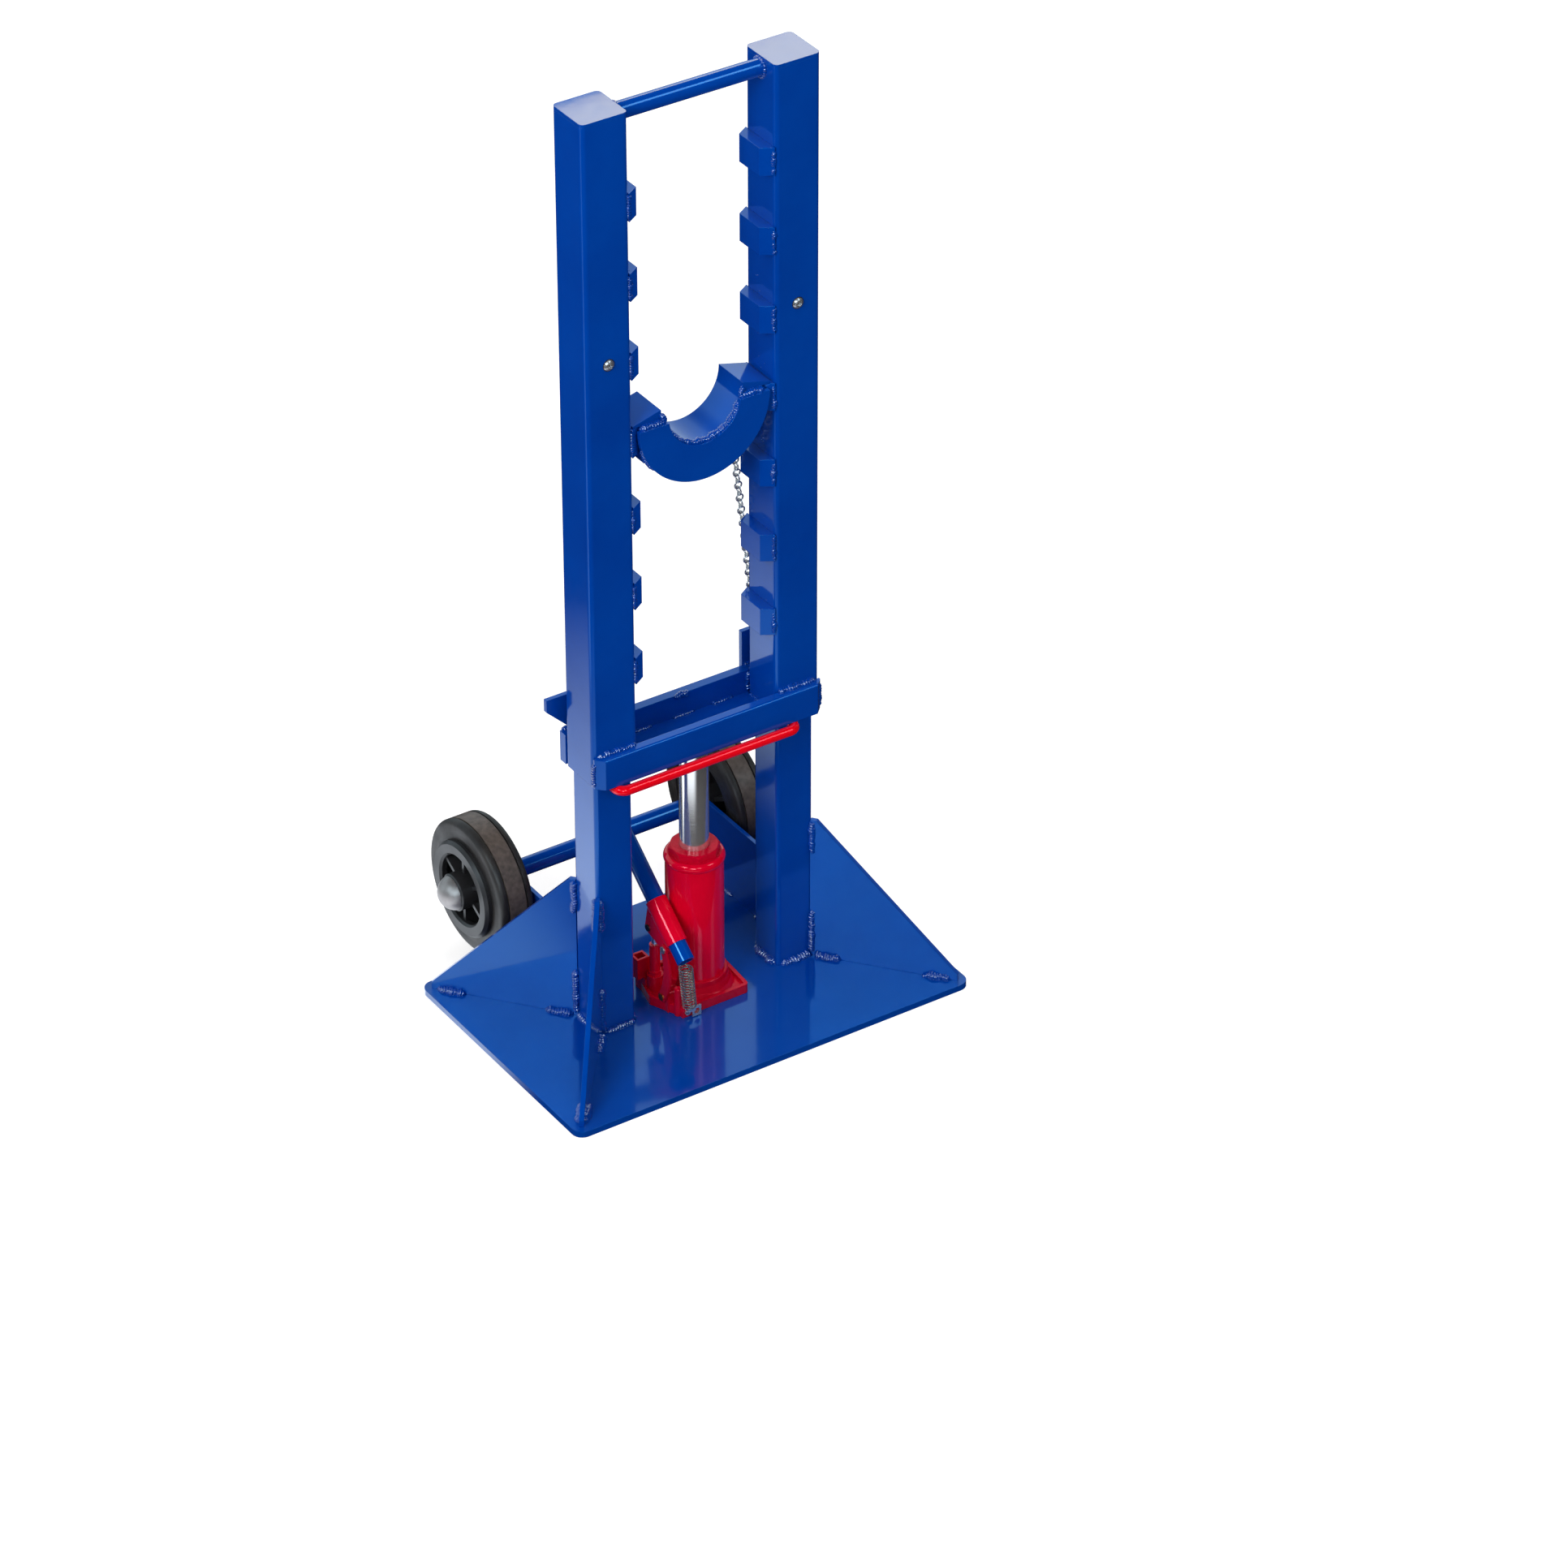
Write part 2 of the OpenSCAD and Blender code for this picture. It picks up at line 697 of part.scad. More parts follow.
// Wire loop of one chain link, standing up from the knot
module chain_loop() {
    translate([0, 0, half_pitch + chain_r + shaft_gap - loop_r]) rotate([90, 0, 0])
        rotate_extrude() translate([loop_r, 0]) circle(r = chain_r);
}

// One knotted link: two crossed loops and the turns of wire between them
module chain_link() {
    turn_r = 1.6 * chain_r;
    chain_loop();
    rotate([180, 0, 90]) chain_loop();
    rotate_extrude() {
        translate([0, -1.9 * chain_r]) square([turn_r, 3.8 * chain_r]);
        for (y = [-0.95, 0.95]) {
            translate([turn_r, y * chain_r]) circle(r = chain_r);
        }
    }
}

module chain() {
    lean = atan2(norm([chain_vec[0], chain_vec[1]]), -chain_vec[2]);
    heading = atan2(chain_vec[1], chain_vec[0]);
    first = half_pitch + 2 * chain_r + shaft_gap;
    color(steel) translate(chain_top) rotate([0, 0, heading]) rotate([0, -lean, 0]) rotate([0, 0, 90 - heading]) {
        for (i = [0:link_count - 1]) {
            translate([0, 0, -first - 2 * i * half_pitch]) chain_link();
        }
    }
}

// Block with a half-round seat and two sloping shoulders that rest on the steps
module saddle_body() {
    tip_x = step_inner_x + saddle_reach;
    tip_z = saddle_top_z - (tip_x - saddle_r) * tan(shoulder_slope);
    color(deep_blue) along_y(saddle_len) difference() {
        polygon([
            [-tip_x, saddle_z], [-saddle_half_w, saddle_z], [-saddle_half_w, saddle_bottom_z],
            [saddle_half_w, saddle_bottom_z], [saddle_half_w, saddle_z], [tip_x, saddle_z],
            [tip_x, tip_z], [saddle_r, saddle_top_z], [-saddle_r, saddle_top_z], [-tip_x, tip_z]
        ]);
        translate([0, saddle_top_z]) circle(r = saddle_r);
    }
}

// Half-ring plate on the front of the saddle body
module saddle_plate() {
    color(deep_blue) translate([0, -saddle_len / 2 - ring_t / 2, 0]) along_y(ring_t) difference() {
        translate([0, ring_z]) circle(r = ring_r);
        translate([0, ring_bore_z]) circle(r = ring_bore_r);
        translate([-ring_r - 1, ring_z]) square([2 * ring_r + 2, ring_r + 1]);
    }
}

// Outline of the jack's foot, drawn inwards by inset
module foot_outline(inset) {
    corner_r = 6;
    corner_proud = 0.03;
    front_y = foot_front_y + corner_r;
    back_y = 42;
    front_right = 38;
    front_left = 46;
    side_out = 11.5;
    side_y = -6;
    back_right = 44;
    rounded_outline([
        [front_right, front_y], [-front_left, front_y], [-pump_x - side_out, side_y], [-pump_x, back_y],
        [back_right, back_y]
    ], corner_r - inset, corner_proud);
}

// Cast base of the jack: rimmed foot, flared collar, pump boss, open cup, link lug, stop post and valve boss
module jack_base() {
    rim_w = 5;
    rim_h = 4;
    lug_half = link_inner - slide_gap;
    lug_r = 9;
    stop_r = 4.5;
    stop_h = 37;
    stop_y = -42;
    ear = [9, 22, 22];
    ear_out = 11;
    ear_y = pump_y + 4;
    cup = [17, 16, 28];
    cup_out = 18;
    cup_z = 20;
    cup_wall = 3;
    cup_floor = 4;
    valve_boss_len = 14;
    color(jack_red) translate([0, 0, jack_z]) difference() {
        union() {
            linear_extrude(height = flange_h - rim_h) foot_outline(0);
            linear_extrude(height = flange_h) difference() {
                foot_outline(0);
                foot_outline(rim_w);
            }
            rotate_extrude() polygon([
                [0, 0], [collar_top_r + 8, 0], [collar_top_r + 8, flange_h - rim_h], [collar_top_r + 3, flange_h],
                [collar_top_r, flange_h + 8], [collar_top_r, jack_base_h - 1], [collar_top_r - 1, jack_base_h],
                [0, jack_base_h]
            ]);
            translate([-pump_x, pump_y, 0]) cylinder(h = boss_top_z - jack_z, r = boss_r);
            translate([-pump_x - ear_out, ear_y, 0]) cube(ear);
            translate([-pump_x - cup_out, ear_y + ear[1] - cup[1], cup_z]) difference() {
                cube(cup);
                translate([cup_wall, cup_wall, cup_floor])
                    cube([cup[0] - 2 * cup_wall, cup[1] - 2 * cup_wall, cup[2]]);
            }
            translate([-pump_x, 0, 0]) along_x(2 * lug_half) union() {
                translate([link_foot[0], link_foot[1] - jack_z]) circle(r = lug_r);
                translate([link_foot[0] - lug_r, 0]) square([2 * lug_r, link_foot[1] - jack_z]);
            }
            translate([-pump_x - 0.5, stop_y, 0]) rotate_extrude() polygon([
                [0, 0], [stop_r, 0], [stop_r, stop_h], [stop_r - 1, stop_h + 2], [0, stop_h + 2.5]
            ]);
            translate([valve_x, foot_front_y + valve_boss_len / 2 - 2, 0]) along_y(valve_boss_len) union() {
                translate([0, valve_z - jack_z]) circle(r = valve_boss_r);
                translate([-valve_boss_r, 0]) square([2 * valve_boss_r, valve_z - jack_z]);
            }
        }
        translate([-pump_x, pump_y, pump_foot_z - jack_z]) cylinder(h = 60, r = pump_d / 2);
        translate([-pump_x, link_foot[0], link_foot[1] - jack_z]) rod_x(-20, 20, pin_d / 2);
        translate([valve_x, foot_front_y - 3, valve_z - jack_z]) rotate([-90, 0, 0])
            cylinder(h = valve_len, r = valve_r + shaft_gap);
    }
}

// Outer tube with the rolled shoulder under the nut
module reservoir_tube() {
    r = reservoir_d / 2;
    roll_r = 7;
    bulge = 1.8;
    roll_z = reservoir_top_z - roll_r;
    color(jack_red) difference() {
        rotate_extrude() {
            translate([r - reservoir_wall, reservoir_z]) square([reservoir_wall, roll_z - reservoir_z]);
            intersection() {
                translate([r + bulge - roll_r, roll_z]) circle(r = roll_r);
                translate([r - reservoir_wall, roll_z - roll_r]) square([roll_r + 1, 2 * roll_r]);
            }
        }
        translate([0, r, plug_z]) rotate([90, 0, 0]) cylinder(h = 4 * reservoir_wall, r = plug_r, center = true);
    }
}

module cylinder_tube() {
    top = reservoir_top_z - nut_skirt_h;
    color(dark_steel) translate([0, 0, reservoir_z]) difference() {
        cylinder(h = top - reservoir_z, r = cylinder_d / 2);
        translate([0, 0, -1]) cylinder(h = top - reservoir_z + 2, r = piston_d / 2 + shaft_gap);
    }
}

// Eight-sided nut that closes the reservoir and guides the ram
module top_nut() {
    color(jack_red) difference() {
        union() {
            translate([0, 0, reservoir_top_z]) intersection() {
                rotate([0, 0, 22.5]) cylinder(h = nut_h, r = nut_d / 2, $fn = 8);
                cylinder(h = nut_h, r1 = nut_d / 2 + 6, r2 = nut_d / 2 - 3);
            }
            translate([0, 0, reservoir_top_z - nut_skirt_h])
                cylinder(h = nut_skirt_h, r = reservoir_d / 2 - reservoir_wall);
        }
        translate([0, 0, reservoir_top_z - nut_skirt_h - 1])
            cylinder(h = nut_h + nut_skirt_h + 2, r = ram_d / 2 + shaft_gap);
    }
}

module ram() {
    edge = 1.5;
    foot = ram_foot_z + piston_h;
    color(steel) {
        translate([0, 0, foot]) cylinder(h = ram_top_z - edge - foot, r = ram_d / 2);
        translate([0, 0, ram_top_z - edge]) cylinder(h = edge, r1 = ram_d / 2, r2 = ram_d / 2 - edge);
    }
}

// Piston on the ram's foot with a groove for its seal
module piston() {
    color(dark_steel) translate([0, 0, ram_foot_z]) difference() {
        cylinder(h = piston_h, r = piston_d / 2);
        translate([0, 0, piston_h / 2 - 1.5]) difference() {
            cylinder(h = 3, r = piston_d / 2 + 1);
            translate([0, 0, -1]) cylinder(h = 5, r = piston_d / 2 - 2);
        }
    }
}

module pump_cylinder() {
    color(jack_red) translate([-pump_x, pump_y, 0]) difference() {
        union() {
            translate([0, 0, pump_foot_z]) cylinder(h = jack_z + pump_h - pump_foot_z, r = pump_d / 2);
            translate([0, 0, boss_top_z]) cylinder(h = 6, r = pump_d / 2 + 2, $fn = 6);
        }
        translate([0, 0, pump_bore_z]) cylinder(h = pump_h + 10, r = plunger_d / 2 + shaft_gap);
    }
}

// Plunger rod with a flat eye for the yoke's pin
module plunger() {
    eye_r = 7;
    eye_w = yoke_gap - 2 * slide_gap - 1;
    color(steel) translate([-pump_x, pump_y, 0]) difference() {
        union() {
            translate([0, 0, plunger_foot_z])
                cylinder(h = plunger_pin_at[1] - plunger_foot_z, r = plunger_d / 2);
            translate([0, 0, plunger_pin_at[1]]) rod_x(-eye_w / 2, eye_w / 2, eye_r);
        }
        translate([0, 0, plunger_pin_at[1]]) rod_x(-eye_w, eye_w, pin_d / 2 + eye_slack);
    }
}

// Side view of a bowed link between its two pins
module link_outline() {
    chord = pivot - link_foot;
    length = norm(chord);
    bow_r = (length * length / 4 + link_bow * link_bow) / (2 * link_bow);
    half_angle = asin(length / 2 / bow_r);
    translate(link_foot) rotate(atan2(chord[1], chord[0])) difference() {
        union() {
            circle(r = link_w / 2);
            translate([length, 0]) circle(r = link_w / 2);
            translate([length / 2, link_bow - bow_r]) intersection() {
                difference() {
                    circle(r = bow_r + link_w / 2);
                    circle(r = bow_r - link_w / 2);
                }
                polygon([
                    [0, 0], [-2 * bow_r * sin(half_angle), 2 * bow_r * cos(half_angle)],
                    [0, 3 * bow_r], [2 * bow_r * sin(half_angle), 2 * bow_r * cos(half_angle)]
                ]);
            }
        }
        circle(r = pin_d / 2);
        translate([length, 0]) circle(r = pin_d / 2);
    }
}

module links() {
    color(jack_red) for (side = [-1, 1]) {
        translate([side * (link_inner + link_t / 2) - pump_x, 0, 0]) along_x(link_t) link_outline();
    }
}

// Headed pin along X through the links
module link_pin(at) {
    half = link_inner + link_t;
    translate([-pump_x, at[0], at[1]]) {
        rod_x(-half, half, pin_d / 2);
        rod_x(half, half + 1.5, pin_d / 2 + 1.5);
        rod_x(-half - 1.5, -half, pin_d / 2 + 1.5);
    }
}

module link_top_pin() {
    color(steel) link_pin(pivot);
}

module link_bottom_pin() {
    color(bronze) link_pin(link_foot);
}

module plunger_pin() {
    half = yoke_gap / 2 + cheek_t;
    color(dark_steel) translate([-pump_x, plunger_pin_at[0], plunger_pin_at[1]]) {
        rod_x(-half, half, pin_d / 2);
        rod_x(-half - 1.5, -half, pin_d / 2 + 1.5);
        rod_x(half, half + 1.5, pin_d / 2 + 1.5);
    }
}

// Places what lies along +Z on the lever's axis
module on_lever(along) {
    at = lever_point(along, 0);
    translate([-pump_x, at[0], at[1]]) rotate([lever_tilt - 90, 0, 0]) children();
}

// Socket of the lever with its yoke cheeks and the bayonet slot at its mouth
module socket() {
    outer = lever_d / 2 + shaft_gap + socket_wall;
    slot_w = 7;
    slot_deep = 11;
    slot_turn = 15;
    cheek_r = link_w / 2;
    color(bright_red) difference() {
        union() {
            on_lever(socket_from) cylinder(h = socket_len, r = outer);
            for (side = [-1, 1]) {
                translate([side * (yoke_gap + cheek_t) / 2 - pump_x, 0, 0]) along_x(cheek_t) rounded_outline([
                    pivot, plunger_pin_at,
                    lever_point(socket_from + socket_len - cheek_r - 2, -cheek_r - 2),
                    lever_point(socket_from + cheek_r + 1, -cheek_r - 2)
                ], cheek_r);
            }
        }
        on_lever(socket_from - 20) cylinder(h = socket_len + 40, r = lever_d / 2 + shaft_gap);
        on_lever(socket_from + socket_len) rotate([0, 0, 90 + slot_turn]) {
            translate([0, -slot_w / 2, -slot_deep]) cube([outer + 2, slot_w, slot_deep + 2]);
            translate([0, 0, -slot_deep]) rotate([0, 90, 0]) cylinder(h = outer + 2, r = slot_w / 2);
            translate([0, slot_w / 2, -slot_deep]) rotate([0, 90, 0]) cylinder(h = outer + 2, r = slot_w / 2);
        }
        on_lever(socket_screw_at) rotate([0, 0, 90]) rotate([0, 90, 0]) cylinder(h = outer + 2, r = socket_screw_r);
        translate([-pump_x, pivot[0], pivot[1]]) rod_x(-20, 20, pin_d / 2 + shaft_gap);
        translate([-pump_x, plunger_pin_at[0], plunger_pin_at[1]]) rod_x(-20, 20, pin_d / 2);
    }
}

// Cross screw that holds the lever tube in its socket
module socket_screw() {
    outer = lever_d / 2 + shaft_gap + socket_wall;
    head_r = 4.2;
    color(dark_steel) on_lever(socket_screw_at) rotate([0, 0, 90]) rotate([0, 90, 0]) difference() {
        union() {
            translate([0, 0, lever_d / 2 - lever_wall - 2])
                cylinder(h = socket_wall + lever_wall + 3, r = socket_screw_r);
            translate([0, 0, outer]) cylinder(h = 2, r1 = head_r, r2 = head_r - 1);
        }
        for (a = [0, 90]) {
            rotate([0, 0, a]) translate([-socket_screw_r, -0.6, outer + 0.8]) cube([2 * socket_screw_r, 1.2, 3]);
        }
    }
}

module lever_tube() {
    color(deep_blue) difference() {
        on_lever(0) cylinder(h = lever_len, r = lever_d / 2);
        on_lever(-1) cylinder(h = lever_len + 2, r = lever_d / 2 - lever_wall);
        on_lever(socket_screw_at) rotate([0, 0, 90]) rotate([0, 90, 0]) cylinder(h = lever_d, r = socket_screw_r);
    }
}

// Place on the spring's wire after t turns, with half a turn in and out at the ends
function spring_radius(t) = (spring_d - spring_wire_d) / 2 * sin(90 * min(1, 2 * min(t, spring_turns - t) + 0.1));
function spring_point(t) = [
    spring_radius(t) * cos(360 * t), spring_radius(t) * sin(360 * t), spring_len * t / spring_turns
];
function unit(v) = v / norm(v);

// Ring of points round the wire at t turns
function spring_ring(t) = let (
    ahead = unit(spring_point(min(t + 0.02, spring_turns)) - spring_point(max(t - 0.02, 0))),
    outward = [cos(360 * t), sin(360 * t), 0],
    side = unit(cross(ahead, outward)),
    up = cross(side, ahead)
) [for (k = [0:spring_sides - 1]) spring_point(t)
    + spring_wire_d / 2 * (cos(360 * k / spring_sides) * side + sin(360 * k / spring_sides) * up)];

module return_spring() {
    rings = spring_turns * spring_rings;
    lean_y = atan2(spring_vec[0], spring_vec[2]);
    lean_x = -atan2(spring_vec[1], norm([spring_vec[0], spring_vec[2]]));
    points = [for (i = [0:rings]) each spring_ring(i / spring_rings)];
    walls = [for (i = [0:rings - 1], k = [0:spring_sides - 1]) let (
        a = i * spring_sides + k,
        b = i * spring_sides + (k + 1) % spring_sides
    ) [a, a + spring_sides, b + spring_sides, b]];
    first = [for (k = [0:spring_sides - 1]) k];
    last = [for (k = [spring_sides - 1:-1:0]) rings * spring_sides + k];
    color(dark_steel) translate(spring_foot) rotate([0, lean_y, 0]) rotate([lean_x, 0, 0])
        polyhedron(points = points, faces = concat(walls, [first, last]), convexity = 10);
}

// Bright bracket that anchors the spring in front of the jack's foot
module spring_tab() {
    low_z = base_t + 1;
    tongue_w = 7;
    tongue_top = spring_foot[2] - spring_wire_d / 2 - slide_gap / 2;
    color(steel) {
        difference() {
            translate([tab_x - tab_w / 2, tab_y, low_z]) cube([tab_w, tab_t, tab_h]);
            translate([tab_x, tab_y + tab_t / 2, low_z + tab_h / 2]) rotate([90, 0, 0])
                cylinder(h = 2 * tab_t, r = tab_hole_r, center = true);
        }
        leg_x = valve_x + valve_boss_r + slide_gap;
        translate([leg_x, tab_y, low_z]) cube([tab_x + tab_w / 2 - leg_x, foot_front_y - tab_y, tab_t]);
        translate([spring_foot[0] - 1, tab_y, tongue_top - tongue_w])
            cube([tab_x - spring_foot[0], tab_t, tongue_w]);
    }
}

// Release valve screw in the front of the jack's base
module release_valve() {
    color(steel) translate([valve_x, foot_front_y - 4, valve_z]) rotate([-90, 0, 0]) difference() {
        cylinder(h = valve_len, r = valve_r);
        translate([-valve_r - 1, -0.6, -1]) cube([2 * valve_r + 2, 1.2, 2.5]);
    }
}

// Rubber plug in the back of the reservoir
module filler_plug() {
    color(rim_black) translate([0, reservoir_d / 2, plug_z]) rotate([-90, 0, 0]) {
        translate([0, 0, -reservoir_wall]) cylinder(h = reservoir_wall + 1, r = plug_r);
        translate([0, 0, 0.2]) cylinder(h = 3, r = plug_r + 2.5);
    }
}

base_plate();
column(-1);  // column_left
column(1);  // column_right
gusset(-1, -1);  // gusset_front_left
gusset(1, -1);  // gusset_front_right
gusset(-1, 1);  // gusset_rear_left
gusset(1, 1);  // gusset_rear_right
bracket(-1);  // bracket_left
bracket(1);  // bracket_right
axle();
tyre(-1);  // tyre_left
rim(-1);  // rim_left
bush(-1);  // bush_left
cap(-1);  // cap_left
tyre(1);  // tyre_right
rim(1);  // rim_right
bush(1);  // bush_right
cap(1);  // cap_right
post(-1);  // post_left
post(1);  // post_right
post_caps();
top_bar();
front_bar();
rear_bar();
seat_plate();
rear_lugs();
steps(-1);  // steps_left
steps(1);  // steps_right
bow();
guide_pads();
post_screws();
chain_lug();
chain();
saddle_body();
saddle_plate();
jack_base();
reservoir_tube();
cylinder_tube();
top_nut();
ram();
piston();
pump_cylinder();
plunger();
links();
link_top_pin();
link_bottom_pin();
plunger_pin();
socket();
socket_screw();
lever_tube();
return_spring();
spring_tab();
release_valve();
filler_plug();
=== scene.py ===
"""Looks of the hydraulic cable drum stand: materials, weld beads, small trim, light and camera.

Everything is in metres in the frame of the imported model. X runs left to right, the front faces -Y
and Z is up.
"""

import math
import random

import bmesh
import bpy
from mathutils import Matrix, Quaternion, Vector, noise

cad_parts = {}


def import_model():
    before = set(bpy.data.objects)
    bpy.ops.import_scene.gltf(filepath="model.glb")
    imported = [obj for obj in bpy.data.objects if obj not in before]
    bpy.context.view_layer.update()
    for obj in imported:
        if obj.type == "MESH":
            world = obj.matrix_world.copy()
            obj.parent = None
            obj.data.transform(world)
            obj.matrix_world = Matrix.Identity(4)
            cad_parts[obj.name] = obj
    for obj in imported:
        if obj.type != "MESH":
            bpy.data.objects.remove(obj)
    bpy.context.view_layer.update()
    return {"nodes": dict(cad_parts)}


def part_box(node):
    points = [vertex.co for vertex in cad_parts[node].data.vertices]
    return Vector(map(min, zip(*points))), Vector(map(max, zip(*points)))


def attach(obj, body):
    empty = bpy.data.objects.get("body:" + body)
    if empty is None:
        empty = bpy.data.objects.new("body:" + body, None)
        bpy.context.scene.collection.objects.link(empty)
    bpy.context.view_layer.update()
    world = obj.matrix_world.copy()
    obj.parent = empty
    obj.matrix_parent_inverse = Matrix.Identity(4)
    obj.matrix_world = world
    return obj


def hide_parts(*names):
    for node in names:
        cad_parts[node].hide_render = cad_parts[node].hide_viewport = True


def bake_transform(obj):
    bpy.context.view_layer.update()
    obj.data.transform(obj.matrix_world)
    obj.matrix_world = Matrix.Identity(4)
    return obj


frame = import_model()

MM = 0.001


# Helpers, and shared places read from the frame

def low(node):
    """The lower left front corner of a node's box."""
    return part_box(node)[0]


def high(node):
    """The upper right rear corner of a node's box."""
    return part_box(node)[1]


def add_object(name, data):
    """A new object in the scene that holds this data."""
    obj = bpy.data.objects.new(name, data)
    bpy.context.scene.collection.objects.link(obj)
    return obj


def mesh_data(name, mesh):
    """Turns a finished bmesh into mesh data and frees it."""
    data = bpy.data.meshes.new(name)
    mesh.to_mesh(data)
    mesh.free()
    return data


BASE_TOP = high("base_plate").z
COLUMN_X = (low("column_right").x + high("column_right").x) / 2
COLUMN_HALF = (high("column_right").x - low("column_right").x) / 2
POST_IN = low("post_right").x
POST_OUT = high("post_right").x
POST_HALF = high("post_right").y
FRAME_LOW = low("post_right").z
AXLE = (low("tyre_right") + high("tyre_right")) / 2


# Materials

def srgb(r, g, b):
    """A colour written as 0 to 255 sRGB, as a linear RGBA tuple."""
    def linear(c):
        c /= 255
        return c / 12.92 if c <= 0.04045 else ((c + 0.055) / 1.055) ** 2.4
    return (linear(r), linear(g), linear(b), 1.0)


class Shader:
    """A small builder for one node material around a Principled shader."""

    def __init__(self, name, **values):
        self.material = bpy.data.materials.new(name)
        self.material.use_nodes = True
        self.tree = self.material.node_tree
        self.bsdf = self.tree.nodes["Principled BSDF"]
        for socket, value in values.items():
            self.bsdf.inputs[socket.replace("_", " ")].default_value = value
        self.position = self.node("ShaderNodeTexCoord").outputs["Object"]

    def node(self, kind, inputs=None, **settings):
        made = self.tree.nodes.new(kind)
        for key, value in settings.items():
            setattr(made, key, value)
        for socket, value in (inputs or {}).items():
            self.feed(made.inputs[socket], value)
        return made

    def feed(self, socket, value):
        if isinstance(value, bpy.types.NodeSocket):
            self.tree.links.new(value, socket)
        else:
            socket.default_value = value

    def stretched(self, scale):
        """The object's position with each axis scaled, for drawn-out patterns."""
        inputs = {"Vector": self.position, "Scale": scale}
        return self.node("ShaderNodeMapping", inputs).outputs["Vector"]

    def noise(self, scale, detail, roughness=0.5, position=None):
        inputs = {"Vector": position or self.position, "Scale": scale, "Detail": detail,
                  "Roughness": roughness}
        return self.node("ShaderNodeTexNoise", inputs).outputs["Fac"]

    def math(self, operation, a, b=0.0):
        return self.node("ShaderNodeMath", {0: a, 1: b}, operation=operation).outputs[0]

    def ramp(self, value, from_low, from_high, to_low=0.0, to_high=1.0):
        inputs = {"Value": value, "From Min": from_low, "From Max": from_high,
                  "To Min": to_low, "To Max": to_high}
        return self.node("ShaderNodeMapRange", inputs, clamp=True).outputs["Result"]

    def mix(self, factor, a, b):
        made = self.node("ShaderNodeMix", data_type="RGBA")
        self.feed(made.inputs[0], factor)
        self.feed(made.inputs[6], a)
        self.feed(made.inputs[7], b)
        return made.outputs[2]

    def color(self, value):
        self.feed(self.bsdf.inputs["Base Color"], value)

    def roughness(self, value):
        self.feed(self.bsdf.inputs["Roughness"], value)

    def relief(self, layers, edge=0.0):
        """Stacks bumps of (height, strength, distance) over edges rounded with radius edge."""
        normal = None
        if edge:
            normal = self.node("ShaderNodeBevel", {"Radius": edge}, samples=4).outputs["Normal"]
        for height, strength, distance in layers:
            inputs = {"Height": height, "Strength": strength, "Distance": distance}
            if normal:
                inputs["Normal"] = normal
            normal = self.node("ShaderNodeBump", inputs).outputs["Normal"]
        for socket in ("Normal", "Coat Normal"):
            self.feed(self.bsdf.inputs[socket], normal)


def paint(name, body, shade, gleam, roughness=0.08, edge=0.9 * MM, lumps=0.0, coat=0.3, shine=0.65):
    """Glossy enamel: two close tones, orange peel, a slow ripple, and cast lumps under it if asked.

    gleam tints what is mirrored face on, which is how the photo shows the deep colours.
    """
    s = Shader(name, Coat_Weight=coat, Coat_Roughness=0.03, Coat_IOR=1.45, Specular_IOR_Level=shine,
               Specular_Tint=gleam)
    s.color(s.mix(s.ramp(s.noise(9, 4), 0.35, 0.7), body, shade))
    s.roughness(s.ramp(s.noise(60, 5), 0.3, 0.75, roughness, roughness + 0.08))
    layers = [(s.noise(22, 2), 0.25, 0.5 * MM), (s.noise(520, 2), 0.1, 0.1 * MM)]
    if lumps:
        layers.append((s.noise(330, 4, 0.6), lumps, 0.5 * MM))
        layers.append((s.noise(90, 3), lumps, 0.8 * MM))
    s.relief(layers, edge)
    return s.material


def metal(name, tone, dark, roughness, stretch=(300, 300, 300), depth=0.2, edge=0.4 * MM,
          metallic=1.0):
    """Bare metal with drawn-out tool marks and a patchy finish. Dull plating is less metallic."""
    s = Shader(name, Metallic=metallic)
    marks = s.noise(1.0, 4, 0.6, s.stretched(stretch))
    s.color(s.mix(s.ramp(s.noise(45, 4), 0.3, 0.75), tone, dark))
    s.roughness(s.ramp(marks, 0.3, 0.7, roughness, roughness + 0.14))
    s.relief([(marks, depth, 0.06 * MM)], edge)
    return s.material


def moulded(name, tone, dark, roughness):
    """Moulded plastic or rubber with a fine grain and faint handling marks."""
    s = Shader(name, Specular_IOR_Level=0.4)
    s.color(s.mix(s.ramp(s.noise(30, 5), 0.35, 0.7), tone, dark))
    s.roughness(s.ramp(s.noise(24, 5), 0.3, 0.75, roughness, roughness + 0.18))
    s.relief([(s.noise(700, 3), 0.25, 0.15 * MM)], 0.6 * MM)
    return s.material


